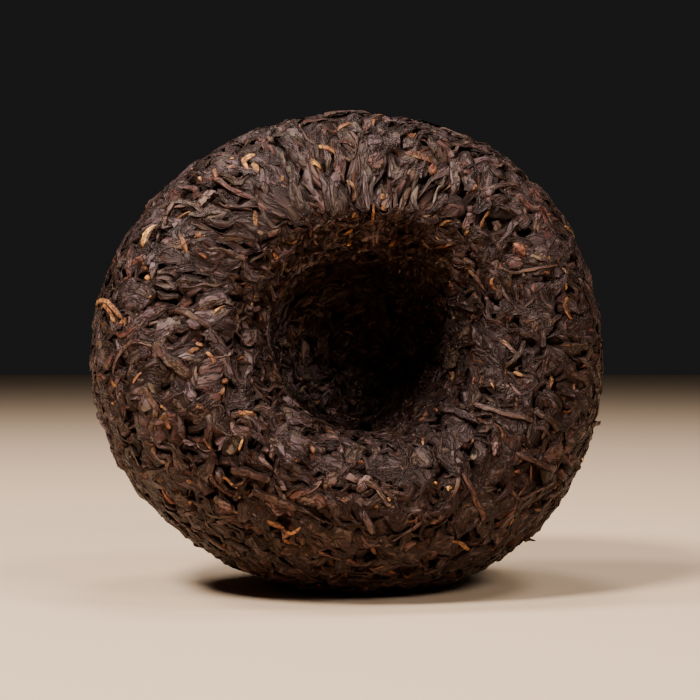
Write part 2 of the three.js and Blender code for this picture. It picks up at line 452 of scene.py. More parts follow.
@dataclass
class Finder:
    """Finds the place on the skin that shows at a pixel of the photograph.

    Skin within reach of the pixel counts, or up to slack pixels past the nearest, and of
    that only what is less than skin_depth millimetres behind its foremost point.
    """

    cake: Cake
    view: Viewpoint
    rows: int = 520
    columns: int = 900
    first_share: float = 0.1
    last_share: float = 0.999
    reach: float = 2
    slack: float = 0.5
    skin_depth: float = 3

    def __post_init__(self) -> None:
        """Draws a fine grid of the skin as the photograph sees it."""
        share, clock = np.meshgrid(
            np.linspace(self.first_share, self.last_share, self.rows),
            np.linspace(0, 2 * math.pi, self.columns, endpoint=False),
            indexing="ij",
        )
        points, out = self.cake.place(share, clock)
        seen = ((points - np.array(self.view.place)) * out).sum(-1) < 0
        pixels, away = self.view.pixels(points)
        self._share, self._clock = share[seen], clock[seen]
        self._pixels, self._away = pixels[seen], away[seen]

    def find(self, pixel: Pixel) -> tuple[float, float]:
        """Finds the nearest skin at a pixel.

        Args:
            pixel: The pixel, across and down.

        Returns:
            The place's share of the outline and its clock angle.
        """
        off = np.linalg.norm(self._pixels - np.array(pixel), axis=1)
        near = np.flatnonzero(off < max(self.reach, float(off.min()) + self.slack))
        front = self._away[near].min()
        near = near[self._away[near] < front + self.skin_depth]
        best = near[np.argmin(off[near])]
        return float(self._share[best]), float(self._clock[best])


# ---------------------------------------------------------------- shader nodes


class Value:
    """A number in a material. Python's operators on it add Math nodes."""

    def __init__(self, shader: "Shader", socket: bpy.types.NodeSocket) -> None:
        """Wraps an output socket of a shader's tree."""
        self.shader = shader
        self.socket = socket

    def _with(self, operation: str, first: Any, second: Any) -> "Value":
        """One Math node on two values or numbers."""
        node = self.shader.node("ShaderNodeMath", {"operation": operation}, {0: first, 1: second})
        return Value(self.shader, node.outputs[0])

    def __add__(self, other: "Value | float") -> "Value":
        """Adds."""
        return self._with("ADD", self, other)

    __radd__ = __add__

    def __mul__(self, other: "Value | float") -> "Value":
        """Multiplies."""
        return self._with("MULTIPLY", self, other)

    __rmul__ = __mul__

    def __sub__(self, other: "Value | float") -> "Value":
        """Takes other away."""
        return self._with("SUBTRACT", self, other)

    def __rsub__(self, other: "Value | float") -> "Value":
        """Is taken away from other."""
        return self._with("SUBTRACT", other, self)

    def between(self, low: float, high: float) -> "Value":
        """Goes smoothly from 0 to 1.

        Args:
            low: Up to where the result is 0.
            high: From where it is 1.

        Returns:
            The result.
        """
        node = self.shader.node(
            "ShaderNodeMapRange",
            {"interpolation_type": "SMOOTHSTEP"},
            {"Value": self, "From Min": low, "From Max": high},
        )
        return Value(self.shader, node.outputs["Result"])


class Blend(Enum):
    """The ways that a colour is laid over another."""

    COVER = "MIX"
    TINT = "MULTIPLY"


@dataclass(frozen=True)
class Grain:
    """A cloudy noise: how fine it is, how detailed and how rough.

    Stretch multiplies a point's place along the leaf, across it and from leaf to leaf, so
    that a number less than 1 draws the noise out that way.
    """

    scale: float
    detail: float
    stretch: tuple[float, float, float] | None = None
    roughness: float = 0.6


class Shader:
    """A material's node tree, with its one Principled shader."""

    def __init__(self, name: str, even: dict[str, Any]) -> None:
        """Starts a material.

        Args:
            name: The material's name.
            even: What is the same all over the surface, by the shader's socket names.
        """
        self.material = bpy.data.materials.new(name)
        self.material.use_nodes = True
        self.tree = self.material.node_tree
        self.surface = self.tree.nodes["Principled BSDF"]
        for socket, value in even.items():
            self.surface.inputs[socket].default_value = value

    def node(self, kind: str, settings: dict[str, Any], inputs: dict[Any, Any]) -> bpy.types.Node:
        """Adds a node.

        Args:
            kind: Its type.
            settings: Its own settings, set first; "stops" are a ramp's places and colours.
            inputs: Its sockets' values or links, by name or number.

        Returns:
            The node.
        """
        node = self.tree.nodes.new(kind)
        for name, value in settings.items():
            if name == "stops":
                self._stops(node.color_ramp, value)
            else:
                setattr(node, name, value)
        for name, value in inputs.items():
            self.link(value, node.inputs[name])
        return node

    @staticmethod
    def _stops(ramp: bpy.types.ColorRamp, stops: Sequence[tuple[float, Colour]]) -> None:
        """Gives a ramp its places and colours.

        Args:
            ramp: The ramp.
            stops: Its places, from 0 to 1, and the colour at each.
        """
        while len(ramp.elements) < len(stops):
            ramp.elements.new(1.0)
        for element, (at, colour) in zip(ramp.elements, stops, strict=True):
            element.position = at
            element.color = (*colour, 1.0)

    def link(self, value: Any, socket: bpy.types.NodeSocket) -> None:
        """Links a value or an output to a socket, or sets the socket's own value.

        Args:
            value: What is linked or set; a colour is given without its alpha.
            socket: The input socket.
        """
        if isinstance(value, Value):
            self.tree.links.new(value.socket, socket)
        elif isinstance(value, bpy.types.NodeSocket):
            self.tree.links.new(value, socket)
        elif isinstance(value, tuple) and len(value) == 3 and socket.type == "RGBA":
            socket.default_value = (*value, 1.0)
        else:
            socket.default_value = value

    def feed(self, name: str, value: Any) -> None:
        """Links a value to one of the Principled shader's sockets."""
        self.link(value, self.surface.inputs[name])

    def attribute(self, name: str) -> bpy.types.Node:
        """Reads what each vertex carries under a name."""
        return self.node("ShaderNodeAttribute", {"attribute_name": name}, {})

    def number(self, name: str) -> Value:
        """Reads a number that each vertex carries under a name."""
        return Value(self, self.attribute(name).outputs["Fac"])

    def noise(self, vector: bpy.types.NodeSocket, grain: Grain) -> Value:
        """Adds cloudy noise.

        Args:
            vector: Where each point of the surface lies in the noise.
            grain: What the noise is like.

        Returns:
            Its values, from 0 to 1.
        """
        if grain.stretch is not None:
            drawn_out = self.node(
                "ShaderNodeVectorMath", {"operation": "MULTIPLY"}, {0: vector, 1: grain.stretch}
            )
            vector = drawn_out.outputs[0]
        sizes = {"Scale": grain.scale, "Detail": grain.detail, "Roughness": grain.roughness}
        node = self.node("ShaderNodeTexNoise", {}, {"Vector": vector, **sizes})
        return Value(self, node.outputs["Fac"])

    def ramp(self, value: Value, stops: Sequence[tuple[float, Colour]]) -> bpy.types.NodeSocket:
        """A colour for each value."""
        node = self.node("ShaderNodeValToRGB", {"stops": stops}, {"Fac": value})
        return node.outputs["Color"]

    def blend(self, part: Value, first: Any, second: Any, how: Blend) -> bpy.types.NodeSocket:
        """Blends two colours.

        Args:
            part: How much of the second, from 0 to 1.
            first: The colour underneath.
            second: The colour laid over it.
            how: The way they are blended.

        Returns:
            The blended colour.
        """
        under, over = MIX_COLOURS
        node = self.node(
            "ShaderNodeMix",
            {"data_type": "RGBA", "blend_type": how.value},
            {"Factor": part, under: first, over: second},
        )
        return node.outputs[MIX_RESULT]

    def bump(self, height: Value, strength: float, distance: float) -> None:
        """Feeds small heights to the surface's normal.

        Args:
            height: The heights, as shares of the distance.
            strength: How much of them shows.
            distance: How high a height of 1 is, in metres.
        """
        node = self.node(
            "ShaderNodeBump",
            {},
            {"Height": height, "Strength": strength, "Distance": distance},
        )
        self.feed("Normal", node.outputs["Normal"])


@dataclass(frozen=True)
class LeafFinish:
    """The finish of one kind of leaf: its own range of colours over a wrinkled skin, with a
    painted sheen on the wrinkles' crests and painted shade in creases, along fold lines, at the
    leaf's sides and low down.

    A band is the stretch of a noise, or of a number that each vertex carries, over which a
    mark comes in. The vertices carry tone and hue, which choose a leaf's colour, rise, which
    goes from 0 a little under the cake's skin to 1 a little over it, and edge, which is 1 at
    the two sides of the leaf and 0 along its middle. A scattered leaf's tone also holds the
    painted light and shade of where it lies.
    """

    name: str
    stops: tuple[tuple[float, Colour], ...]
    mottle: float = 0.65
    speckle: float = 0.3
    cool_cast: Colour = (0.98, 0.91, 1.04)
    cool_band: Limits = (0.5, 0.66)
    warm_cast: Colour = (1.0, 1.12, 0.80)
    warm_band: Limits = (0.36, 0.5)
    blush: Colour = (0.082, 0.025, 0.017)
    blush_share: float = 0.1
    blush_full: float = 0.4
    blush_patches: Limits = (0.3, 0.6)
    olive: Colour = (0.060, 0.036, 0.018)
    olive_share: float = 0.08
    olive_full: float = 0.5
    olive_strength: float = 0.55
    streak: Colour = (0.26, 0.105, 0.042)
    streak_strength: float = 0.55
    streak_band: Limits = (0.66, 0.72)
    streak_patches: Limits = (0.45, 0.6)
    # Painted sheen: a lighter grey laid on the wrinkles' crests over the leaf's upper parts.
    painted_sheen: Colour = (0.19, 0.128, 0.118)
    painted_sheen_strength: float = 0.38
    painted_sheen_band: Limits = (0.5, 0.68)
    painted_sheen_rise: Limits = (0.55, 0.95)
    fringe: Colour = (0.17, 0.047, 0.016)
    fringe_strength: float = 0.6
    fringe_from: Limits = (0.35, 0.55)
    fringe_to: Limits = (0.6, 0.8)
    fringe_patches: Limits = (0.54, 0.64)
    # The shade colour is painted shade, laid in the creases, fold lines, sides and low parts.
    shade: Colour = (0.0052, 0.0014, 0.0005)
    crease_shade_strength: float = 0.6
    crease_shade_band: Limits = (0.3, 0.47)
    line_shade_strength: float = 0.72
    line_shade_from: Limits = (0.43, 0.49)
    line_shade_to: Limits = (0.51, 0.57)
    border_shade_strength: float = 0.95
    border_shade_band: Limits = (0.62, 0.94)
    low_shade_strength: float = 0.96
    low_shade_band: Limits = (0.35, 1.0)

    mottles: Grain = Grain(0.55, 3.0)
    pores: Grain = Grain(3.0, 2.0)
    wrinkles: Grain = Grain(0.9, 3.0, (0.42, 1.5, 1.0))
    folds: Grain = Grain(0.9, 1.0, (0.22, 0.9, 1.0))
    streaks: Grain = Grain(0.9, 1.0, (0.14, 1.3, 1.7))
    lines: Grain = Grain(0.75, 2.5, (0.4, 0.8, 1.0))
    casts: Grain = Grain(0.3, 1.0)
    rust: Grain = Grain(0.35, 1.0)

    wrinkle: float = 1.0
    wrinkle_depth: float = 0.34
    wrinkle_part: float = 0.8
    fold_part: float = 1.3
    pore_part: float = 0.2
    line_part: float = 0.9
    roughness: Limits = (0.34, 0.62)
    dull_band: Limits = (0.25, 0.75)
    specular: float = 0.26
    gloss_tint: Colour = (1.0, 0.72, 0.63)

    def make(self) -> bpy.types.Material:
        """Makes the material: a ramp of colours, the marks laid over it with painted sheen and painted
        shade among them, gloss and relief.

        Returns:
            The material.
        """
        even = {"Specular IOR Level": self.specular, "Specular Tint": (*self.gloss_tint, 1.0)}
        shader = Shader(self.name, even)
        grain = shader.attribute("grain").outputs["Vector"]
        tone, hue = shader.number("tone"), shader.number("hue")
        rise, edge = shader.number("rise"), shader.number("edge")
        mottle = shader.noise(grain, self.mottles)
        wrinkles = shader.noise(grain, self.wrinkles)
        folds = shader.noise(grain, self.folds)
        pores = shader.noise(grain, self.pores)
        cast = shader.noise(grain, self.casts)
        streaks = shader.noise(grain, self.streaks)
        bent = shader.noise(grain, self.lines)
        rusty = shader.noise(grain, self.rust).between(*self.fringe_patches)

        blush = hue.between(1 - self.blush_share, 1 - self.blush_full * self.blush_share)
        olive = 1 - hue.between(self.olive_full * self.olive_share, self.olive_share)
        streak = streaks.between(*self.streak_band) * mottle.between(*self.streak_patches)
        # Painted sheen where the wrinkles crest on the leaf's upper parts.
        crest = wrinkles.between(*self.painted_sheen_band) * rise.between(*self.painted_sheen_rise)
        # Painted shade in the wrinkles' hollows.
        crease = 1 - wrinkles.between(*self.crease_shade_band)
        # Painted shade along thin fold lines, which the bump also presses in.
        line = bent.between(*self.line_shade_from) * (1 - bent.between(*self.line_shade_to))
        side = rise.between(*self.fringe_from) * (1 - rise.between(*self.fringe_to))
        # Painted shade on the low parts of each leaf, near and under the skin.
        low = 1 - rise.between(*self.low_shade_band)
        marks = (
            (cast.between(*self.cool_band), self.cool_cast, Blend.TINT),
            (1 - cast.between(*self.warm_band), self.warm_cast, Blend.TINT),
            (blush * mottle.between(*self.blush_patches), self.blush, Blend.COVER),
            (olive * self.olive_strength, self.olive, Blend.COVER),
            (streak * self.streak_strength, self.streak, Blend.COVER),
            (crest * self.painted_sheen_strength, self.painted_sheen, Blend.COVER),
            # Painted shade in the creases.
            (crease * self.crease_shade_strength, self.shade, Blend.COVER),
            # Painted shade along the fold lines.
            (line * self.line_shade_strength, self.shade, Blend.COVER),
            (side * rusty * self.fringe_strength, self.fringe, Blend.COVER),
            # Painted shade along the leaf's two sides.
            (edge.between(*self.border_shade_band) * self.border_shade_strength, self.shade, Blend.COVER),
            # Painted shade on the low parts.
            (low * self.low_shade_strength, self.shade, Blend.COVER),
        )
        uneven = self.mottle * (mottle - NOISE_MEAN) + self.speckle * (pores - NOISE_MEAN)
        colour = shader.ramp(tone + uneven, self.stops)
        for part, mark, how in marks:
            colour = shader.blend(part, colour, mark, how)
        shader.feed("Base Color", colour)

        smooth, rough = self.roughness
        dull = smooth + (rough - smooth) * mottle.between(*self.dull_band)
        shader.feed("Roughness", dull + (1 - rough) * low)
        height = self.wrinkle_part * wrinkles + self.fold_part * folds
        height = height + self.pore_part * pores - self.line_part * line
        shader.bump(height, self.wrinkle, self.wrinkle_depth * MM)
        return shader.material


class Finish(Enum):
    """The finishes that the nest's pieces wear."""

    DARK = LeafFinish(
        "ripe_leaf_dark",
        (
            (0.0, (0.0058, 0.0023, 0.0018)),
            (0.3, (0.0185, 0.0083, 0.0070)),
            (0.65, (0.050, 0.0285, 0.0265)),
            (1.0, (0.128, 0.082, 0.076)),
        ),
    )
    BROWN = LeafFinish(
        "ripe_leaf_brown",
        (
            (0.0, (0.0095, 0.0026, 0.0014)),
            (0.3, (0.034, 0.0122, 0.0079)),
            (0.65, (0.089, 0.0435, 0.0325)),
            (1.0, (0.190, 0.107, 0.088)),
        ),
        blush_share=0.24,
    )
    STRIP = LeafFinish(
        "rolled_strip",
        (
            (0.0, (0.0065, 0.0023, 0.0014)),
            (0.35, (0.0230, 0.0098, 0.0074)),
            (0.7, (0.0640, 0.0360, 0.0310)),
            (1.0, (0.156, 0.097, 0.087)),
        ),
        wrinkle=0.7,
    )
    STALK = LeafFinish(
        "leaf_stalk",
        (
            (0.0, (0.016, 0.0068, 0.0042)),
            (0.5, (0.048, 0.0225, 0.0155)),
            (1.0, (0.15, 0.080, 0.056)),
        ),
        blush=(0.105, 0.030, 0.018),
        blush_share=0.22,
        roughness=(0.38, 0.55),
        wrinkle=0.5,
    )
    TIP = LeafFinish(
        "golden_tip",
        (
            (0.0, (0.080, 0.028, 0.014)),
            (0.35, (0.225, 0.084, 0.036)),
            (0.7, (0.48, 0.19, 0.062)),
            (1.0, (0.84, 0.40, 0.125)),
        ),
        blush=(0.30, 0.10, 0.06),
        blush_share=0.25,
        olive=(0.36, 0.17, 0.05),
        olive_share=0.15,
        shade=(0.03, 0.010, 0.004),
        painted_sheen=(0.80, 0.45, 0.18),
        painted_sheen_strength=0.25,
        streak=(0.13, 0.045, 0.018),
        mottle=1.0,
        mottles=Grain(0.8, 3.0),
        wrinkle=0.7,
    )
    CORE = LeafFinish(
        "packed_dust",
        (
            (0.0, (0.0050, 0.0022, 0.0014)),
            (0.6, (0.0140, 0.0065, 0.0042)),
            (1.0, (0.0340, 0.0172, 0.0112)),
        ),
        painted_sheen_strength=0.1,
        streak_strength=0.2,
        roughness=(0.75, 0.9),
        specular=0.1,
    )


# ---------------------------------------------------------------- leaves


@dataclass
class Knead:
    """Small shared shifts that crumple neighbouring leaves together, as pressing did."""

    strength: float = 0.33
    pressed: float = 0.6
    shortest: float = 2.4
    longest: float = 6.0
    waves: int = 14
    seed: int = 12

    def __post_init__(self) -> None:
        """Draws the waves that the shifts are made of."""
        rng = np.random.default_rng(self.seed)
        heading = rng.normal(0, 1, (3, self.waves))
        heading /= np.linalg.norm(heading, axis=0)
        self._waves = heading * 2 * math.pi / rng.uniform(self.shortest, self.longest, self.waves)
        self._starts = rng.uniform(0, 2 * math.pi, (3, self.waves))

    def shift(self, points: Array, outward: Array) -> Array:
        """Tells how far points are moved, less so outwards, as they were pressed.

        Args:
            points: The points.
            outward: The directions that face away from the cake there.

        Returns:
            Their moves, in millimetres.
        """
        phase = points @ self._waves
        size = self.strength * math.sqrt(2 / self.waves)
        move = np.stack([size * np.sin(phase + start).sum(-1) for start in self._starts], -1)
        rising = np.sum(move * outward, -1, keepdims=True)
        return move - (1 - self.pressed) * rising * outward


@dataclass
class Tubes:
    """Closed slender forms laid along the skin, all with the same number of vertices.

    Paths are given at stations from end to end; the first and last of them are the tips.
    The two powers, less than 1, make the section's sides and top fuller, belly flattens its
    underside, and give is the share of its height that pressing left as it was.
    """

    cake: Cake
    share: Array
    clock: Array
    way: Array
    run: Array
    ring: int = 8
    edge_power: float = 0.8
    top_power: float = 0.62
    belly: float = 0.7
    give: float = 0.35
    bottom: float = 0.55
    top: float = 0.55
    table_gap: float = 0.02
    fold_width: float = 0.4
    grain_step: float = 7.31
    cell_stretch: float = 2
    cell_margin: float = 0.08
    knead: Knead = field(default_factory=Knead)

    def grow(
        self,
        width: Array,
        thickness: Array,
        lift: Array,
        roll: Array,
        flush: Array,
        groove: Array,
        ragged: Array,
    ) -> None:
        """Gives the tubes their cross-sections and works out every vertex.

        Args:
            width: Half widths at each station, tips included.
            thickness: Half thicknesses at each station.
            lift: Heights of the middle over the skin at each station.
            roll: How far the section is turned at each station, in radians.
            flush: The height over the skin at which each tube was pressed flat.
            groove: How deep the fold along the top is, as a share of the thickness.
            ragged: What each vertex of the rings strays by, as a share of its offset.
        """
        count, stations = self.share.shape
        turn = np.arange(self.ring) / self.ring * 2 * math.pi
        cosine, sine = np.cos(turn), np.sin(turn)
        across = np.sign(cosine) * np.abs(cosine) ** self.edge_power
        across = np.broadcast_to(across, (count, stations, self.ring))
        high = np.sign(sine) * np.abs(sine) ** self.top_power
        high = high * np.where(sine < 0, self.belly, 1)
        fold = 1 - groove[:, None, None] * np.exp(-((across / self.fold_width) ** 2))
        high = high * np.where(sine > 0, fold, 1)
        side = across * width[..., None] * (1 + ragged)
        over = high * thickness[..., None] * (1 + ragged)
        side[:, [0, -1]] = 0
        over[:, [0, -1]] = 0
        cosine, sine = np.cos(roll)[..., None], np.sin(roll)[..., None]
        offset = side * cosine - over * sine
        height = side * sine + over * cosine + lift[..., None]
        level = flush[:, None, None]
        pressed = self.give * height + (1 - self.give) * level * np.tanh(height / level)
        height = np.where(height > 0, pressed, height)

        share = self.share[..., None] - np.sin(self.way)[..., None] * offset / self.cake.length
        radius = self.cake.girth(self.share)[..., None]
        clock = self.clock[..., None] + np.cos(self.way)[..., None] * offset / radius
        points, outward = self.cake.place(share, clock, height)
        points = points + self.knead.shift(points, outward)
        points[..., 2] = np.maximum(points[..., 2], self.table_gap)

        rise = np.clip((height + self.bottom) / (self.bottom + self.top), 0, 1)
        seeds = np.arange(count)[:, None, None] * self.grain_step
        grain = np.stack(
            np.broadcast_arrays(self.run[..., None], offset, seeds + np.zeros_like(offset)), -1
        )
        self.points = self._packed(points)
        self.grain = self._packed(grain)
        self.rise = self._packed(rise[..., None])[:, 0]
        self.edge = self._packed(np.abs(across)[..., None])[:, 0]
        self.count, self.stations = count, stations

    def _packed(self, values: Array) -> Array:
        """Puts values of the rings in the order of the mesh's vertices.

        Args:
            values: One row for each vertex of each ring of each tube.

        Returns:
            The rows as one list, each tube's two tips first.
        """
        count, _, _, width = values.shape
        tips = values[:, [0, -1], 0]
        rings = values[:, 1:-1].reshape(count, -1, width)
        return np.concatenate([tips, rings], 1).reshape(-1, width)

    def each(self, values: Array) -> Array:
        """One value for each tube, repeated for all of its vertices."""
        return np.repeat(values, TIPS + (self.stations - TIPS) * self.ring)

    def triangles(self) -> tuple[Array, Array]:
        """The faces of all tubes.

        Returns:
            The corners of every triangle, and where each corner lies on a map: each tube
            has a cell of its own, along the tube one way and round it the other.
        """
        rings, ring = self.stations - TIPS, self.ring
        row, column = np.meshgrid(np.arange(rings - 1), np.arange(ring), indexing="ij")
        row, column = row.ravel(), column.ravel()
        after = (column + 1) % ring

        def vertex(rows: Array, columns: Array) -> Array:
            """The number of a ring's vertex within its tube."""
            return TIPS + rows * ring + columns

        def spot(rows: Array, columns: Array) -> Array:
            """Where a corner lies within its tube's cell."""
            return np.stack([(rows + 1.0) / (rings + 1), columns / ring], -1)

        first, second = vertex(row, column), vertex(row + 1, column)
        third, fourth = vertex(row + 1, after), vertex(row, after)
        a, b = spot(row, column), spot(row + 1, column)
        c, d = spot(row + 1, column + 1), spot(row, column + 1)
        around = np.arange(ring)
        next_one = (around + 1) % ring
        zeros, last = np.zeros(ring, int), np.full(ring, rings - 1)
        corners = [
            np.stack([first, second, third], -1),
            np.stack([first, third, fourth], -1),
            np.stack([zeros, vertex(zeros, around), vertex(zeros, next_one)], -1),
            np.stack([zeros + 1, vertex(last, next_one), vertex(last, around)], -1),
        ]
        tip, end = spot(zeros - 1, around + 0.5), spot(last + 1, around + 0.5)
        spots = [
            np.stack([a, b, c], 1),
            np.stack([a, c, d], 1),
            np.stack([tip, spot(zeros, around), spot(zeros, around + 1)], 1),
            np.stack([end, spot(last, around + 1), spot(last, around)], 1),
        ]
        one, one_map = np.concatenate(corners), np.concatenate(spots)
        size = TIPS + rings * ring
        faces = one[None] + (np.arange(self.count) * size)[:, None, None]
        columns = math.ceil(math.sqrt(self.count / self.cell_stretch))
        rows = math.ceil(self.count / columns)
        cell = np.stack([np.arange(self.count) % columns, np.arange(self.count) // columns], -1)
        inside = self.cell_margin + (1 - 2 * self.cell_margin) * one_map
        places = (cell[:, None, None] + inside[None]) / np.array([columns, rows])
        return faces.reshape(-1, 3), places.reshape(-1, 2)


def make_piece(
    name: str,
    points: Array,
    faces: Array,
    carried: dict[str, Array],
    places: Array | None,
    finish: bpy.types.Material,
    crease: float = 180,
) -> bpy.types.Object:
    """Makes a mesh object from lists of numbers.

    Args:
        name: The object's name.
        points: Its vertices, in millimetres.
        faces: The corners of its triangles.
        carried: What each vertex carries for the material, by name.
        places: Where each corner lies on the map, or None for no map.
        finish: Its material.
        crease: Edges that bend by more degrees than this are sharp.

    Returns:
        The object, linked to the scene.
    """
    mesh = bpy.data.meshes.new(name)
    mesh.vertices.add(len(points))
    mesh.vertices.foreach_set("co", (points * MM).astype(np.float32).ravel())
    mesh.loops.add(3 * len(faces))
    mesh.loops.foreach_set("vertex_index", faces.astype(np.int32).ravel())
    mesh.polygons.add(len(faces))
    mesh.polygons.foreach_set("loop_start", np.arange(len(faces), dtype=np.int32) * 3)
    mesh.update(calc_edges=True)
    mesh.validate()
    mesh.shade_smooth()
    mesh.set_sharp_from_angle(angle=math.radians(crease))
    for key, values in carried.items():
        wide = values.ndim == 2
        layer = mesh.attributes.new(key, "FLOAT_VECTOR" if wide else "FLOAT", "POINT")
        data = values.astype(np.float32).ravel()
        layer.data.foreach_set("vector" if wide else "value", data)
    if places is not None:
        layer = mesh.uv_layers.new(name="OFBake")
        layer.uv.foreach_set("vector", places.astype(np.float32).ravel())
    mesh.materials.append(finish)
    piece = bpy.data.objects.new(name, mesh)
    bpy.context.scene.collection.objects.link(piece)
    return piece


@dataclass(frozen=True)
class Family:
    """One kind of scattered leaf.

    Length, width, thickness, lift over the skin, buckle, tuck and flush, the height at which
    it was pressed flat, are in millimetres, each pair from least to most. Curl, twist, roll
    and stray are in degrees, and groove, ridges and ragged are shares of the leaf's section.
    """

    name: str
    finish: Finish
    count: int
    length: Limits
    width: Limits
    thickness: Limits
    lift: Limits
    seed: int
    stations: int = 8
    ring: int = 8
    curl: float = 45
    twist: float = 15
    roll: float = 12
    stray: float = 35
    bluntness: float = 3.5
    groove: float = 0.5
    ridges: float = 0.17
    ragged: float = 0.11
    buckle: float = 0.18
    tuck: float = 0.75
    flush: Limits = (0.15, 0.65)
    crease: float = 42
    tone: Limits = (0.0, 1.0)


@dataclass
class LeafLayer:
    """A whole family of leaves over the cake, as one mesh.

    Their tone carries painted light and shade that follow the cake as the photograph shows it:
    painted light on the rim, painted shade on the flank and darkest round painted_shade_angle.
    The hollow's wall and floor have painted light round wall_lit_angle and painted shade on the
    side across from it, and the brow over the hollow has painted light round brow_light_angle.
    """

    cake: Cake
    swirl: Swirl
    family: Family
    jitter: float = 0.45
    kept_over_table: float = 0.25
    wave_share: float = 0.5
    wave_starts: Limits = (0, 6)
    lopsided: float = 0.25
    thin_ends: float = 0.5
    tuck_focus: int = 3
    tone_skew: Limits = (1.0, 1.4)
    throat_olive: float = 0.6
    olive_reach: float = 26
    rim_painted_light: float = 1.18
    flank_painted_shade: float = 0.84
    flank_from: float = 24
    brow_painted_light: float = 1.0
    brow_light_angle: float = 95
    brow_light_focus: int = 3
    brow_light_depths: tuple[float, float, float, float] = (1, 5, 14, 20)
    wall_painted_light: float = 1.05
    wall_light_to_shade: float = 1.05
    wall_lit_angle: float = 208
    wall_from: float = 10
    wall_to: float = 22
    shaded_wall_from: float = 4
    shaded_wall_to: float = 9
    floor_painted_light: float = 1.2
    floor_light_to_shade: float = 0.9
    floor_from: float = 36
    floor_to: float = 41
    painted_shade_side: float = 0.72
    painted_shade_angle: float = -38
    painted_shade_focus: int = 4

    def _ripeness(self, share: Array) -> Array:
        """Turns more of the leaves near the hollow olive.

        Args:
            share: The leaves' shares of the outline.

        Returns:
            What their hues are multiplied by, less than 1 near the throat.
        """
        crest = self.cake.radius(share) - self.cake.throat_diameter / 2
        inside = share > self.cake.front_share
        near = 1 - smooth_step(crest, 0, self.olive_reach)
        return 1 - (1 - self.throat_olive) * near * inside

    def _painted_light_and_shade(self, share: Array, clock: Array) -> Array:
        """Paints light and shade into the leaves' tones by where they lie.

        Args:
            share: The leaves' shares of the outline.
            clock: Their clock angles in radians.

        Returns:
            What their tones are multiplied by: the painted light and shade.
        """
        # Painted shade on the side round painted_shade_angle.
        side = 1 - self.painted_shade_side * facing(clock, self.painted_shade_angle) ** self.painted_shade_focus
        depth = self.cake.depth(share)
        flank = smooth_step(depth, 0, self.flank_from)
        floor = smooth_step(depth, self.floor_from, self.floor_to)
        # The hollow's wall and floor: painted light round wall_lit_angle, painted shade across from it,
        # where it also starts nearer the rim.
        turned = np.cos(clock - math.radians(self.wall_lit_angle))
        away = (1 - turned) / 2
        near = self.wall_from + (self.shaded_wall_from - self.wall_from) * away
        far = self.wall_to + (self.shaded_wall_to - self.wall_to) * away
        deep = smooth_step(depth, near, far)
        wall = self.wall_painted_light + self.wall_light_to_shade * turned
        wall = wall + (self.floor_painted_light + self.floor_light_to_shade * turned - wall) * floor
        # Painted light on the brow over the hollow.
        upper = facing(clock, self.brow_light_angle) ** self.brow_light_focus
        start, full, end, gone = self.brow_light_depths
        brow = smooth_step(depth, start, full) * (1 - smooth_step(depth, end, gone))
        # Outside, the rim's painted light turns to painted shade over the flank; inside, it gives way to
        # the wall's painted light and shade.
        outside = self.rim_painted_light + (self.flank_painted_shade - self.rim_painted_light) * flank
        inside = self.rim_painted_light + (wall - self.rim_painted_light) * deep
        inside = inside + self.brow_painted_light * brow * upper
        return side * np.where(share > self.cake.crest_share, inside, outside)

    def build(self, finish: bpy.types.Material) -> bpy.types.Object:
        """Lays the leaves and makes their mesh.

        Args:
            finish: The family's material.

        Returns:
            The mesh object.
        """
        kind = self.family
        rng = np.random.default_rng(kind.seed)
        share, clock = self.cake.spread(kind.count, kind.seed, self.jitter, rng)
        points, _ = self.cake.place(share, clock)
        kept = points[:, 2] > self.kept_over_table
        share, clock = share[kept], clock[kept]
        count = len(share)

        def drawn(limits: Limits) -> Array:
            """A number for each leaf between two limits."""
            return rng.uniform(*limits, count)

        reach = np.linspace(-1, 1, kind.stations)
        length = drawn(kind.length)
        heading = self.swirl.heading(share, clock)
        heading = heading + np.radians(rng.normal(0, kind.stray, count))
        curl = np.radians(rng.normal(0, kind.curl, count))
        wave = np.radians(rng.normal(0, self.wave_share * kind.curl, count))
        way = heading[:, None] + curl[:, None] * reach
        way = way + wave[:, None] * np.sin(reach * math.pi + drawn(self.wave_starts)[:, None])
        step = length / (kind.stations - 1)
        middle = kind.stations // 2
        along = np.cumsum(np.cos(way), 1) * step[:, None]
        around = np.cumsum(np.sin(way), 1) * step[:, None]
        along -= along[:, [middle]]
        around -= around[:, [middle]]
        radius = self.cake.girth(share)[:, None]

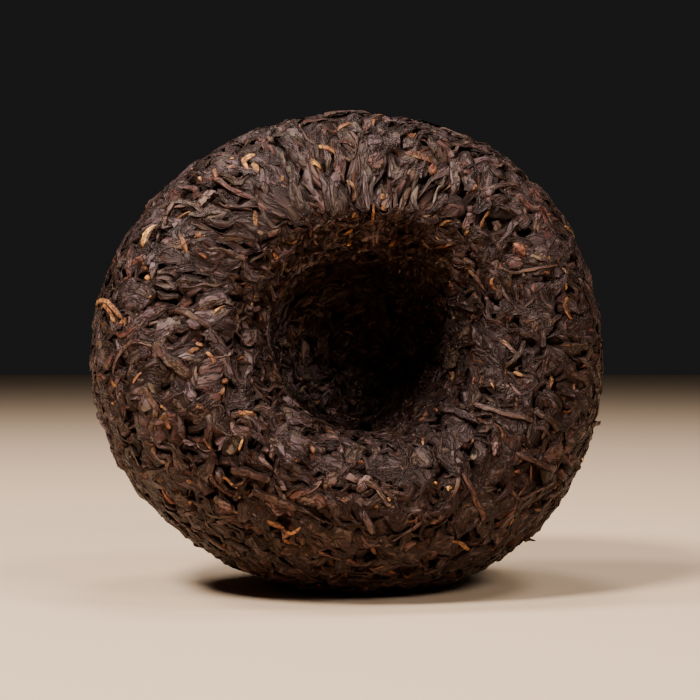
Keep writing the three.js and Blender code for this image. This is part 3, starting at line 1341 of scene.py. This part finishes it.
        tubes = Tubes(
            self.cake,
            share[:, None] + along / self.cake.length,
            clock[:, None] + around / radius,
            way,
            reach * length[:, None] / 2,
            ring=kind.ring,
        )
        taper = tapered(reach, kind.bluntness)
        lopsided = 1 + self.lopsided * rng.uniform(-1, 1, count)[:, None] * reach
        pinch = 1 + kind.ragged * rng.normal(0, 1, (count, kind.stations))
        width = drawn(kind.width)[:, None] / 2 * taper * lopsided * pinch
        thickness = drawn(kind.thickness)[:, None] / 2 * taper**self.thin_ends
        tuck = kind.tuck * np.abs(reach) ** self.tuck_focus
        lift = drawn(kind.lift)[:, None] - tuck
        lift = lift + kind.buckle * rng.normal(0, 1, (count, kind.stations))
        roll = np.radians(rng.normal(0, kind.roll, count))[:, None]
        roll = roll + np.radians(rng.normal(0, kind.twist, count))[:, None] * reach
        ragged = kind.ragged * rng.normal(0, 1, (count, kind.stations, kind.ring))
        ragged = ragged + kind.ridges * rng.normal(0, 1, (count, 1, kind.ring))
        flush, groove = drawn(kind.flush), drawn((0, kind.groove))
        tubes.grow(width, thickness, lift, roll, flush, groove, ragged)
        faces, places = tubes.triangles()
        low, high = kind.tone
        tone = low + (high - low) * rng.beta(*self.tone_skew, count)
        carried = {
            "grain": tubes.grain,
            "rise": tubes.rise,
            "edge": tubes.edge,
            # Each leaf's own tone, times the painted light and shade of its place.
            "tone": tubes.each(tone * self._painted_light_and_shade(share, clock)),
            "hue": tubes.each(rng.uniform(0, 1, count) * self._ripeness(share)),
        }
        return make_piece(kind.name, tubes.points, faces, carried, places, finish, kind.crease)


FAMILIES = (
    Family(
        name="dark_leaves",
        finish=Finish.DARK,
        count=1600,
        length=(4.5, 9),
        width=(1.5, 3.3),
        thickness=(0.8, 1.4),
        lift=(-0.42, 0.28),
        seed=101,
        ring=9,
        roll=18,
        twist=20,
    ),
    Family(
        name="brown_leaves",
        finish=Finish.BROWN,
        count=1700,
        length=(4, 8),
        width=(1.3, 2.8),
        thickness=(0.8, 1.3),
        lift=(-0.48, 0.28),
        seed=202,
        ring=9,
        roll=18,
        twist=20,
    ),
    Family(
        name="rolled_strips",
        finish=Finish.STRIP,
        count=1800,
        length=(5, 11.5),
        width=(0.9, 1.7),
        thickness=(0.8, 1.4),
        lift=(-0.35, 0.32),
        seed=303,
        stations=10,
        ring=6,
        curl=50,
        twist=40,
        roll=25,
        groove=0.15,
    ),
    Family(
        name="thin_strips",
        finish=Finish.BROWN,
        count=1600,
        length=(3, 7.5),
        width=(0.5, 1.0),
        thickness=(0.5, 0.9),
        lift=(-0.05, 0.4),
        seed=707,
        ring=5,
        curl=60,
        twist=30,
        roll=25,
        groove=0.1,
    ),
    Family(
        name="under_leaves",
        finish=Finish.STRIP,
        count=1300,
        length=(5, 9),
        width=(1.8, 3.4),
        thickness=(0.8, 1.2),
        lift=(-1.6, -1.15),
        seed=808,
        stations=7,
        ring=6,
        curl=40,
        twist=20,
        roll=20,
        groove=0.1,
        tuck=0.1,
        # Tone kept to the darker half: painted shade on the leaves that lie underneath.
        tone=(0.0, 0.5),
    ),
    Family(
        name="broad_leaves",
        finish=Finish.DARK,
        count=440,
        length=(5.5, 12),
        width=(3.4, 6.6),
        thickness=(0.9, 1.4),
        lift=(-0.05, 0.3),
        seed=404,
        stations=10,
        ring=14,
        curl=25,
        twist=8,
        roll=7,
        ridges=0.2,
        ragged=0.12,
        buckle=0.24,
        bluntness=2.6,
        groove=0.7,
        tone=(0.2, 0.9),
    ),
    Family(
        name="stalks",
        finish=Finish.STALK,
        count=120,
        length=(7, 15),
        width=(0.8, 1.4),
        thickness=(0.8, 1.3),
        lift=(0.0, 0.35),
        seed=505,
        stations=9,
        curl=14,
        twist=5,
        roll=5,
        bluntness=12,
        groove=0.0,
        ridges=0.05,
        ragged=0.04,
        buckle=0.08,
        tuck=0.5,
        flush=(0.6, 0.9),
        tone=(0.0, 0.8),
    ),
    Family(
        name="golden_tips",
        finish=Finish.TIP,
        count=480,
        length=(2, 6),
        width=(0.4, 1.0),
        thickness=(0.4, 0.8),
        lift=(-0.05, 0.3),
        seed=606,
        ring=6,
        curl=60,
        groove=0.1,
        tone=(0.0, 0.9),
    ),
)


# ---------------------------------------------------------------- leaves at their own places


@dataclass(frozen=True)
class Placed:
    """A leaf with a place of its own, given by pixels of the photograph along its middle.

    Widths and lifts are in millimetres, tone and hue choose its colour, and the higher its
    taper is, the blunter are its ends. The last end lifts off by end_lift.
    """

    name: str
    path: tuple[Pixel, ...]
    width: float
    tone: float = 0.5
    hue: float = 0.5
    taper: float = 2.8
    lift: float = 0.5
    end_lift: float = 0.0


@dataclass
class PlacedLayer:
    """The leaves of one finish that have places of their own, as one mesh."""

    cake: Cake
    finder: Finder
    name: str
    leaves: tuple[Placed, ...]
    stations: int = 12
    ring: int = 10
    thinness: float = 0.62
    thickest: float = 1.2
    thin_ends: float = 0.5
    top: float = 0.4
    tuck: float = 0.5
    tuck_focus: int = 4
    end_focus: int = 2
    tilt: float = 5
    twist: float = 8
    groove: Limits = (0, 0.3)
    ridges: float = 0.1
    wobble: float = 0.05
    flush: float = 1.0
    crease: float = 42
    kneading: float = 0.1
    fine_steps: int = 8
    rounding_steps: int = 7
    seed: int = 909

    def _course(self, leaf: Placed) -> tuple[Array, Array, Array, Array]:
        """Follows a leaf's pixels along the skin.

        Args:
            leaf: The leaf.

        Returns:
            Its shares, clock angles, directions and lengths run, at each station.
        """
        found = np.array([self.finder.find(pixel) for pixel in leaf.path])
        share, clock = found[:, 0], np.unwrap(found[:, 1])
        radius = float(self.cake.radius(share).mean())
        flat = np.stack([share * self.cake.length, clock * radius], -1)
        gaps = np.linalg.norm(np.diff(flat, axis=0), axis=1)
        run = np.concatenate([[0], np.cumsum(gaps)])
        wanted = np.linspace(0, run[-1], self.stations)
        fine = np.linspace(0, run[-1], self.fine_steps * self.stations)
        line = np.stack([np.interp(fine, run, flat[:, axis]) for axis in (0, 1)], -1)
        window = np.hanning(self.rounding_steps)
        window /= window.sum()
        half = self.rounding_steps // 2
        padded = np.pad(line, ((half, half), (0, 0)), mode="edge")
        line = np.stack([np.convolve(padded[:, axis], window, "valid") for axis in (0, 1)], -1)
        bent = np.stack([np.interp(wanted, fine, line[:, axis]) for axis in (0, 1)], -1)
        step = np.gradient(bent, axis=0)
        way = np.unwrap(np.arctan2(step[:, 1], step[:, 0]))
        log.debug("%s is %.1f mm long", leaf.name, run[-1])
        return bent[:, 0] / self.cake.length, bent[:, 1] / radius, way, wanted

    def build(self, finish: bpy.types.Material) -> bpy.types.Object:
        """Lays the leaves and makes their mesh.

        Args:
            finish: Their material.

        Returns:
            The mesh object.
        """
        rng = np.random.default_rng(self.seed)
        courses = [self._course(leaf) for leaf in self.leaves]
        share, clock, way, run = (np.stack(parts) for parts in zip(*courses, strict=True))
        count = len(self.leaves)
        knead = Knead(strength=self.kneading)
        tubes = Tubes(self.cake, share, clock, way, run, ring=self.ring, top=self.top, knead=knead)
        reach = np.linspace(-1, 1, self.stations)

        def each(name: str) -> Array:
            """One field of every leaf, as a column."""
            return np.array([getattr(leaf, name) for leaf in self.leaves])[:, None]

        taper = tapered(reach, each("taper"))
        wobble = self.wobble * each("width")
        pinch = 1 + wobble * rng.normal(0, 1, (count, self.stations))
        width = each("width") / 2 * taper * pinch
        thick = np.minimum(each("width") * self.thinness, self.thickest)
        thickness = thick / 2 * taper**self.thin_ends
        lift = each("lift") - self.tuck * np.abs(reach) ** self.tuck_focus
        lift = lift + each("end_lift") * np.clip(reach, 0, 1) ** self.end_focus
        roll = np.radians(rng.normal(0, self.tilt, (count, 1)) + self.twist * reach)
        ragged = self.ridges * rng.normal(0, 1, (count, 1, self.ring))
        strays = rng.normal(0, 1, (count, self.stations, self.ring))
        ragged = ragged + wobble[..., None] * strays
        flush = self.flush + np.maximum(each("end_lift")[:, 0], 0)
        groove = rng.uniform(*self.groove, count)
        tubes.grow(width, thickness, lift, roll, flush, groove, ragged)
        faces, places = tubes.triangles()
        carried = {
            "grain": tubes.grain,
            "rise": tubes.rise,
            "edge": tubes.edge,
            "tone": tubes.each(each("tone")[:, 0]),
            "hue": tubes.each(each("hue")[:, 0]),
        }
        return make_piece(self.name, tubes.points, faces, carried, places, finish, self.crease)


PLACED: dict[Finish, tuple[Placed, ...]] = {
    Finish.TIP: (
        Placed("gold_curl_outer", ((259, 157), (251, 158), (244, 164), (248, 171)), 1.2, 0.8),
        Placed("gold_curl_inner", ((260, 165), (254, 167), (256, 174)), 1.1, 0.85),
        Placed("gold_bar", ((306, 164), (315, 165), (322, 169)), 1.0, 0.9),
        Placed("orange_bar", ((315, 147), (327, 150), (337, 156)), 0.9, 0.5),
        Placed("salmon_strip", ((337, 132), (344, 128), (352, 125)), 0.8, 0.45),
        Placed("top_orange_bit", ((372, 128), (375, 121)), 0.9, 0.35),
        Placed("top_tan_bit", ((376, 118), (382, 116)), 0.9, 0.45),
        Placed("orange_stem", ((376, 195), (373, 207), (370, 226)), 1.0, 0.6),
        Placed("orange_dash", ((379, 198), (384, 198)), 0.5, 0.4),
        Placed("tan_hook", ((346, 180), (356, 190), (356, 194), (352, 201)), 0.6, 0.05),
        Placed("tan_upright", ((255, 211), (256, 231)), 0.7, 0.05, 0.1),
        Placed("gold_speck", ((282, 176), (282, 184)), 0.5, 0.7, 0.02),
        Placed("rust_flat", ((403, 153), (418, 157), (435, 164)), 1.1, 0.0),
        Placed("pink_block", ((429, 167), (435, 175)), 1.4, 0.35, 0.95),
        Placed("right_dot", ((563, 227), (568, 234)), 1.4, 0.3),
        Placed("orange_bud", ((514, 243), (519, 248), (524, 257)), 1.2, 0.2, 0.9, 2),
        Placed("bud_speck", ((545, 256), (549, 262)), 0.6, 0.7, 0.02),
        Placed("yellow_tan", ((440, 226), (447, 222), (453, 222)), 0.9, 0.15, 0.02),
        Placed("vee_long", ((459, 242), (447, 244), (433, 248)), 0.9, 0.0),
        Placed("right_strip", ((568, 297), (564, 307), (567, 316), (571, 323)), 0.9, 0.12),
        Placed("right_fleck", ((562, 283), (565, 291)), 0.6, 0.5, 0.05),
        Placed("loop_outer", ((97, 313), (99, 305), (105, 301), (113, 304), (119, 312), (125, 321)),
               0.95, 0.55, 0.5, 8, 0.9),
        Placed("loop_inner", ((103, 311), (108, 306), (113, 313), (119, 323)), 0.9, 0.5, 0.5, 8, 0.8),
        Placed("loop_end", ((105, 320), (106, 329)), 0.9, 0.15),
        Placed("cream_flake", ((157, 225), (150, 233), (143, 248)), 1.7, 1.15, 0.5, 3, 0.5),
        Placed("left_orange_a", ((180, 232), (183, 243), (187, 255)), 0.8, 0.25),
        Placed("left_orange_b", ((197, 232), (199, 240)), 0.9, 0.2),
        Placed("left_orange_c", ((200, 254), (207, 260)), 0.7, 0.45),
        Placed("left_spot", ((230, 160), (235, 162)), 0.8, 0.4),
        Placed("tan_pair_a", ((226, 171), (236, 166)), 0.8, 0.2, 0.9),
        Placed("tan_pair_b", ((217, 169), (217, 180)), 1.0, 0.3, 0.9),
        Placed("left_gold_dot", ((227, 180), (231, 182)), 0.7, 0.7, 0.02),
        Placed("pale_dot", ((200, 178), (202, 183)), 0.7, 0.9),
        Placed("gold_dot_high", ((147, 276), (150, 281)), 0.9, 0.75),
        Placed("gold_dot_low", ((151, 296), (153, 299)), 0.7, 0.7),
        Placed("zigzag_a", ((196, 343), (203, 347)), 0.7, 0.35),
        Placed("zigzag_b", ((188, 356), (193, 351), (200, 349)), 0.9, 0.15),
        Placed("zigzag_c", ((205, 351), (212, 359), (217, 369)), 0.8, 0.45, 0.3),
        Placed("thin_stick", ((143, 371), (133, 386)), 0.5, 0.5, 0.95),
        Placed("low_tan_bit", ((113, 380), (118, 386)), 0.8, 0.4, 0.2),
        Placed("rust_nest_a", ((221, 383), (227, 381)), 1.2, 0.2),
        Placed("rust_nest_b", ((214, 397), (220, 394), (223, 387)), 0.8, 0.15),
        Placed("orange_stick", ((236, 414), (246, 415), (255, 416)), 1.0, 0.35, 0.5, 6),
        Placed("olive_bit", ((192, 403), (199, 405), (205, 409)), 1.0, 0.0, 0.5),
        Placed("inner_gold_a", ((253, 294), (254, 300)), 0.6, 0.25),
        Placed("inner_gold_b", ((249, 308), (251, 302)), 0.7, 0.35, 0.02),
        Placed("left_fold_gold", ((161, 418), (169, 417)), 0.5, 0.15),
        Placed("left_fold_spot", ((169, 421), (171, 427)), 0.9, 0.35, 0.2),
        Placed("edge_line", ((216, 473), (227, 478), (233, 483), (238, 489)), 0.6, 0.3),
        Placed("red_spot_a", ((189, 478), (194, 483)), 1.1, 0.1),
        Placed("red_spot_b", ((189, 503), (193, 501)), 1.0, 0.2),
        Placed("oval_edge", ((223, 502), (229, 505), (234, 508)), 0.5, 0.3),
        Placed("low_speck", ((239, 549), (240, 554)), 0.7, 0.5),
        Placed("star_leaf", ((264, 517), (274, 522), (285, 529)), 1.3, 0.15, 0.5, 2, 0.3),
        Placed("star_a", ((283, 528), (291, 531), (302, 525)), 0.8, 0.45, 0.1, 2),
        Placed("star_b", ((285, 537), (289, 530), (294, 534)), 0.8, 0.5, 0.02),
        Placed("middle_fleck_a", ((310, 447), (314, 455)), 0.8, 0.25),
        Placed("middle_fleck_b", ((292, 461), (296, 464)), 0.7, 0.3),
        Placed("pale_thin", ((243, 439), (242, 445), (239, 452)), 0.6, 0.6),
        Placed("pinched_gold", ((387, 497), (390, 502)), 0.9, 0.7, 0.02),
        Placed("low_orange", ((374, 508), (377, 505)), 0.7, 0.4),
        Placed("low_rust", ((371, 546), (376, 554)), 0.8, 0.0),
        Placed("gold_arc", ((340, 566), (346, 569), (346, 576)), 0.6, 0.1),
        Placed("lip_orange", ((419, 423), (427, 419)), 0.9, 0.1),
        Placed("lip_thin", ((422, 440), (423, 447)), 0.5, 0.3),
        Placed("yellow_wire", ((490, 379), (493, 385), (495, 390)), 0.4, 0.4, 0.02),
        Placed("tan_chip", ((513, 373), (523, 376)), 0.9, 0.0, 0.02),
        Placed("bright_strip", ((499, 341), (505, 345), (511, 350)), 0.8, 0.95),
        Placed("rust_wire", ((529, 464), (529, 483)), 0.5, 0.0),
        Placed("gold_dot_right", ((447, 486), (451, 493)), 1.2, 1.0, 0.02),
        Placed("gold_dot_left", ((433, 482), (436, 484)), 0.6, 0.6),
        Placed("low_gold", ((511, 516), (508, 525)), 0.6, 0.3, 0.02),
        Placed("low_tan", ((447, 537), (458, 541), (470, 549)), 0.9, 0.0, 0.02),
        Placed("bright_speck", ((581, 458), (582, 463)), 0.6, 1.1),
        Placed("lip_red", ((436, 410), (440, 412)), 0.7, 0.0),
        Placed("outline_orange", ((180, 175), (184, 171)), 0.7, 0.1),
    ),
    Finish.STALK: (
        Placed("lower_stalk_a", ((230, 468), (250, 473), (271, 481)), 1.5, 0.45, 0.5, 14, 0.85),
        Placed("lower_stalk_b", ((252, 489), (275, 497), (300, 509)), 1.5, 0.55, 0.5, 14, 0.85),
        Placed("red_stem_long", ((461, 469), (466, 483), (474, 498), (483, 522)), 1.3, 0.62, 0.85, 14, 0.8),
        Placed("red_stem_right", ((513, 453), (531, 460), (556, 469)), 1.2, 0.4, 0.8, 14, 0.8),
        Placed("bent_stem", ((554, 481), (537, 488), (518, 499), (512, 494), (511, 487)),
               0.8, 0.55, 0.5, 14, 0.8),
        Placed("long_stem", ((471, 404), (489, 411), (506, 415), (525, 419), (535, 424)),
               1.2, 0.62, 0.5, 14, 0.7),
        Placed("dark_stem", ((532, 409), (560, 430)), 1.6, 0.15, 0.5, 14),
        Placed("wire_loop", ((115, 374), (121, 359), (127, 348), (137, 342), (147, 343), (156, 348)),
               0.8, 0.8, 0.5, 10, 0.85),
        Placed("broad_stem", ((155, 341), (166, 354), (179, 368), (192, 378)), 1.8, 0.6, 0.5, 10, 0.85),
        Placed("edge_stem", ((575, 274), (583, 291), (590, 309), (593, 322)), 0.6, 0.5, 0.85, 14),
        Placed("thin_red_high", ((389, 201), (384, 232)), 0.5, 0.5, 0.85, 14),
        Placed("grey_strand", ((464, 450), (457, 465), (457, 483), (453, 495), (451, 508)), 0.8, 0.7),
        Placed("edge_strand", ((599, 346), (593, 368), (597, 381), (598, 401)), 0.7, 0.7),
        Placed("short_stalk", ((386, 491), (409, 495)), 0.9, 0.5, 0.6, 12),
        Placed("pink_line", ((220, 205), (237, 209), (258, 207)), 0.6, 0.7, 0.7),
        Placed("side_strip", ((359, 151), (360, 181)), 0.5, 0.7),
        Placed("vee_tail", ((337, 156), (346, 161), (356, 156)), 0.6, 0.75),
        Placed("folded_strip", ((140, 393), (146, 388), (152, 396), (157, 408), (159, 420)),
               1.4, 0.8, 0.6, 6, 0.75),
        Placed("fold_cross", ((149, 421), (167, 422)), 0.9, 0.75),
        Placed("curved_brown", ((171, 460), (169, 466), (173, 480)), 1.0, 0.65, 0.75),
        Placed("curl_light", ((296, 502), (305, 498), (313, 499), (315, 504)), 0.8, 0.8),
        Placed("pink_strip_left", ((167, 217), (177, 200)), 1.1, 0.9),
        Placed("pink_strip_tail", ((167, 217), (165, 228)), 0.8, 0.8),
        Placed("light_vee", ((489, 340), (499, 341), (510, 349), (520, 356)), 1.0, 0.75, 0.8),
        Placed("tan_curve", ((496, 266), (513, 274), (531, 270), (554, 267), (560, 257)), 0.8, 0.7),
        Placed("low_dark_line", ((206, 513), (237, 514)), 0.8, 0.5),
        Placed("vee_short", ((433, 248), (427, 243), (422, 238)), 0.8, 0.8),
    ),
    Finish.BROWN: (
        Placed("crown_leaf", ((322, 120), (346, 116), (372, 118)), 3.0, 0.65, 0.6, 2.8, 1.3),
        Placed("pink_leaf", ((357, 493), (363, 485), (369, 476)), 2.0, 1.25, 0.7, 2.2, 0.5),
        Placed("pink_leaf_tail", ((372, 484), (381, 496), (386, 504), (397, 509)), 1.0, 0.9),
        Placed("oval_leaf", ((322, 489), (331, 480), (339, 473)), 2.3, 0.7, 0.5, 2.0, 0.3),
        Placed("red_leaf_left", ((134, 245), (133, 262), (131, 280)), 1.9, 0.55, 0.95),
        Placed("pink_tan_leaf", ((118, 353), (113, 360), (107, 368)), 2.0, 0.75, 0.9),
        Placed("pink_flake_high", ((198, 208), (207, 199), (216, 190)), 1.6, 0.95),
        Placed("rust_flat_right", ((453, 165), (461, 170), (470, 175)), 2.2, 0.6, 0.85),
        Placed("outline_leaf", ((437, 129), (455, 136), (471, 144)), 2.2, 0.75, 0.7),
        Placed("bud_leaf", ((505, 262), (514, 264), (524, 262)), 3.0, 0.65, 0.6, 2.4),
        Placed("beside_bud", ((530, 254), (539, 258), (548, 261)), 1.7, 0.8),
        Placed("gold_patch", ((335, 221), (348, 223), (360, 221)), 1.9, 0.7, 0.02),
        Placed("olive_diagonal", ((412, 188), (402, 203), (393, 218)), 1.7, 0.8, 0.03),
        Placed("tan_oval", ((214, 495), (223, 500), (233, 507)), 1.9, 0.9, 0.3, 3),
        Placed("rust_low", ((218, 522), (231, 519)), 1.6, 0.6, 0.85),
        Placed("brown_broad", ((542, 456), (552, 451), (562, 444)), 3.2, 0.5, 0.8, 2.6),
        Placed("edge_rust", ((559, 497), (566, 491), (573, 486)), 1.4, 0.55, 0.85),
        Placed("low_pink", ((368, 568), (377, 566), (386, 563)), 1.4, 0.75, 0.85),
        Placed("twist_light", ((493, 457), (495, 450), (497, 442)), 1.1, 1.0),
        Placed("ridge_a", ((498, 382), (506, 391), (514, 403)), 0.8, 0.85, 0.08),
        Placed("ridge_b", ((503, 382), (512, 392), (519, 404)), 0.8, 0.8, 0.08),
        Placed("ridge_c", ((509, 383), (517, 392), (523, 400)), 0.7, 0.75, 0.5),
        Placed("pink_patch", ((367, 163), (375, 164), (384, 163)), 2.4, 0.7, 0.85, 3),
        Placed("rust_deep", ((292, 230), (300, 227)), 1.5, 0.5, 0.9),
        Placed("ochre_upright", ((305, 217), (311, 239)), 1.2, 0.55, 0.04),
        Placed("low_rust_leaf", ((184, 512), (197, 511)), 1.1, 0.6, 0.9),
        Placed("tan_edge_left", ((100, 352), (98, 372)), 1.0, 0.8, 0.75),
        Placed("pink_top", ((337, 142), (347, 144), (357, 150)), 0.8, 0.95, 0.9),
        Placed("out_flake_side", ((590, 424), (596, 422), (601, 420)), 1.0, 0.3, 0.5, 4, 0.7, 1.6),
        Placed("out_flake_low", ((524, 538), (530, 541), (538, 542)), 1.3, 0.5, 0.3, 4, 0.7, 2.2),
    ),
    Finish.DARK: (
        Placed("flat_leaf_left", ((131, 334), (145, 320), (160, 308)), 4.0, 0.72, 0.4, 2.2, 0.12),
        Placed("flat_leaf_middle", ((150, 341), (165, 330), (182, 318)), 3.2, 0.85, 0.3, 2.2, 0.15),
        Placed("round_leaf_left", ((127, 362), (140, 355), (153, 349)), 2.9, 0.6, 0.5, 2.2, 0.2),
        Placed("smooth_diagonal", ((205, 329), (216, 341), (229, 357)), 3.0, 0.6, 0.5, 3, 0.4),
        Placed("slab_dark_a", ((366, 142), (375, 142), (384, 142)), 3.2, 0.7, 0.5, 5, 0.4),
        Placed("slab_olive", ((388, 140), (394, 140), (400, 140)), 3.2, 0.85, 0.06, 5, 0.4),
        Placed("slab_dark_b", ((401, 144), (407, 144), (413, 145)), 2.2, 0.6, 0.5, 5, 0.4),
        Placed("radial_a", ((364, 169), (365, 190), (366, 212)), 1.8, 1.05, 0.3),
        Placed("radial_b", ((342, 171), (332, 189), (329, 220)), 1.6, 0.85, 0.3),
        Placed("radial_c", ((318, 171), (325, 190), (325, 213)), 1.6, 0.7, 0.4),
        Placed("radial_d", ((292, 166), (295, 190), (298, 214)), 2.3, 0.7, 0.5),
        Placed("radial_e", ((265, 169), (265, 195)), 1.5, 0.75, 0.4),
        Placed("slab_upright", ((450, 160), (452, 178), (454, 198)), 1.8, 0.9, 0.4),
        Placed("lip_leaf", ((440, 411), (458, 413), (479, 423)), 2.0, 0.6, 0.3, 3),
        Placed("curled_dark", ((539, 231), (545, 226), (551, 231), (548, 239)), 1.1, 0.6),
        Placed("concentric", ((186, 320), (193, 323), (199, 331)), 1.6, 0.9, 0.4),
        Placed("white_flake", ((523, 383), (528, 379)), 1.2, 1.2, 0.4),
        Placed("light_flake", ((471, 460), (474, 455)), 1.2, 1.2, 0.4),
        Placed("wavy_upright", ((363, 508), (367, 520), (375, 534)), 1.5, 0.8, 0.4),
        Placed("left_band", ((186, 217), (205, 217), (225, 213)), 1.4, 0.8, 0.4),
    ),
}


# ---------------------------------------------------------------- the core


@dataclass
class Core:
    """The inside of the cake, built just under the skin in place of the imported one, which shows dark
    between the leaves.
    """

    cake: Cake
    mesh_size: float = 1.35
    sunk: float = 1.5
    relief: float = 0.14
    relief_size: float = 1.3
    waves: int = 24
    table_gap: float = 0.0
    seed: int = 77
    pole: float = 0.0015
    mean_hue: float = 0.5
    mean_tone: float = 0.4
    relief_shade_change: float = 0.5
    full_relief: float = 2.5

    def _relief(self, points: Array) -> Array:
        """Adds up short waves.

        Args:
            points: Points of the skin.

        Returns:
            Small heights there.
        """
        rng = np.random.default_rng(self.seed)
        ways = rng.normal(size=(self.waves, 3)) / self.relief_size
        shifts = rng.uniform(0, 2 * math.pi, self.waves)
        total = np.sin(points @ ways.T + shifts).sum(-1)
        return self.relief * total / math.sqrt(self.waves / 2)

    def build(self, finish: bpy.types.Material) -> bpy.types.Object:
        """Makes the core's mesh, rows of vertices from pole to pole.

        Args:
            finish: Its material.

        Returns:
            The mesh object.
        """
        rows = round(self.cake.length / self.mesh_size)
        columns = round(math.pi * self.cake.widest_diameter / self.mesh_size)
        share, clock = np.meshgrid(
            np.linspace(self.pole, 1 - self.pole, rows),
            np.arange(columns) / columns * 2 * math.pi,
            indexing="ij",
        )
        points, _ = self.cake.place(share, clock)
        height = self._relief(points) - self.sunk
        points, _ = self.cake.place(share, clock, height)
        poles = points[[0, -1]].mean(1)
        vertices = np.concatenate([points.reshape(-1, 3), poles])
        vertices[:, 2] = np.maximum(vertices[:, 2], self.table_gap)

        row, column = np.meshgrid(np.arange(rows - 1), np.arange(columns), indexing="ij")
        here = (row * columns + column).ravel()
        next_one = (row * columns + (column + 1) % columns).ravel()
        below, below_next = here + columns, next_one + columns
        around = np.arange(columns)
        first, last = rows * columns, rows * columns + 1
        after = (around + 1) % columns
        end = (rows - 1) * columns
        faces = np.concatenate(
            [
                np.stack([here, below_next, below], -1),
                np.stack([here, next_one, below_next], -1),
                np.stack([np.full(columns, first), after, around], -1),
                np.stack([np.full(columns, last), end + around, end + after], -1),
            ]
        )
        # Painted shade: where the relief dips, the core's tone and rise drop, so it comes out darker.
        level = (height.ravel() + self.sunk) / (self.full_relief * self.relief)
        level = level * self.relief_shade_change + self.mean_tone
        level = np.concatenate([level, [self.mean_tone, self.mean_tone]])
        carried = {
            "grain": vertices,
            "rise": np.clip(level, 0, 1),
            "tone": np.clip(level, 0, 1),
            "hue": np.full(len(vertices), self.mean_hue),
        }
        return make_piece("packed_core", vertices, faces, carried, None, finish)


# ---------------------------------------------------------------- floor, lights, camera


@dataclass(frozen=True)
class Lamp:
    """A soft lamp, in metres and watts, which looks at a point of the nest."""

    name: str
    place: tuple[float, float, float]
    size: float
    power: float
    colour: Colour = (1.0, 1.0, 1.0)
    target: tuple[float, float, float] = (0.0, 0.0, 0.05)

    def add(self) -> None:
        """Adds the lamp to the scene."""
        light = bpy.data.lights.new(self.name, "AREA")
        light.shape = "DISK"
        light.size = self.size
        light.energy = self.power
        light.color = self.colour
        lamp = bpy.data.objects.new(self.name, light)
        bpy.context.scene.collection.objects.link(lamp)
        lamp.location = self.place
        lamp.visible_camera = False
        way = Vector(self.target) - Vector(self.place)
        lamp.rotation_euler = way.to_track_quat("-Z", "Y").to_euler()


@dataclass(frozen=True)
class Studio:
    """The plain pale floor, the soft light and the camera."""

    view: Viewpoint
    floor_side: float = 6.0
    floor_colour: Colour = (0.70, 0.50, 0.33)
    floor_roughness: float = 0.85
    floor_specular: float = 0.2
    backdrop: Colour = (0.5, 0.5, 0.5)
    backdrop_strength: float = 0.024
    nearest_seen: float = 0.01
    lamps: tuple[Lamp, ...] = (
        Lamp("key_lamp", (-0.34, -0.42, 0.69), 0.20, 10.6, (1.0, 0.96, 0.93)),
        Lamp("left_lamp", (-0.466, 0.0, 0.746), 0.22, 4.2, (1.0, 0.95, 0.92)),
        Lamp("top_lamp", (0.0, 0.15, 0.867), 0.24, 2.7, (1.0, 0.96, 0.93)),
        Lamp("front_lamp", (0.43, -0.59, 0.51), 0.22, 3.4, (1.0, 0.94, 0.89)),
        Lamp("right_lamp", (0.36, -0.20, 0.79), 0.22, 2.8, (1.0, 0.95, 0.92)),
    )

    def build(self) -> None:
        """Adds the floor, the lamps, the backdrop and the camera."""
        self._floor()
        for lamp in self.lamps:
            lamp.add()
        world = bpy.data.worlds.new("backdrop")
        world.use_nodes = True
        sky = world.node_tree.nodes["Background"]
        sky.inputs["Color"].default_value = (*self.backdrop, 1.0)
        sky.inputs["Strength"].default_value = self.backdrop_strength
        bpy.context.scene.world = world
        self._camera()

    def _floor(self) -> None:
        """Adds a flat pale floor."""
        half = self.floor_side / 2
        mesh = bpy.data.meshes.new("floor")
        corners = [(-half, -half, 0), (half, -half, 0), (half, half, 0), (-half, half, 0)]
        mesh.from_pydata(corners, [], [(0, 1, 2, 3)])
        even = {"Roughness": self.floor_roughness, "Specular IOR Level": self.floor_specular}
        shader = Shader("floor_paper", even)
        shader.feed("Base Color", self.floor_colour)
        mesh.materials.append(shader.material)
        floor = bpy.data.objects.new("floor", mesh)
        bpy.context.scene.collection.objects.link(floor)

    def _camera(self) -> None:
        """Adds a camera at the photograph's place, looking level along +Y."""
        camera = bpy.data.cameras.new("camera")
        camera.lens = self.view.lens
        camera.sensor_width = self.view.sensor
        camera.clip_start = self.nearest_seen
        holder = bpy.data.objects.new("camera", camera)
        bpy.context.scene.collection.objects.link(holder)
        holder.location = Vector(self.view.place) * MM
        holder.rotation_euler = (math.pi / 2, 0, 0)
        bpy.context.scene.camera = holder


def main() -> None:
    """Builds the nest round its frame and reports each piece."""
    logging.basicConfig(level=logging.INFO, format="%(name)s: %(message)s")
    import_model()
    cake = Cake()
    swirl = Swirl(cake)
    view = Viewpoint()
    finishes = {finish: finish.value.make() for finish in Finish}

    pieces = [Core(cake).build(finishes[Finish.CORE])]
    for family in FAMILIES:
        pieces.append(LeafLayer(cake, swirl, family).build(finishes[family.finish]))
    finder = Finder(cake, view)
    for finish, leaves in PLACED.items():
        layer = PlacedLayer(cake, finder, f"placed_{finish.value.name}", leaves)
        pieces.append(layer.build(finishes[finish]))
    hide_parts(NODE)
    for piece in pieces:
        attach(piece, BODY)
        log.info("%s: %d triangles", piece.name, len(piece.data.polygons))
    Studio(view).build()


if __name__ == "__main__":
    main()
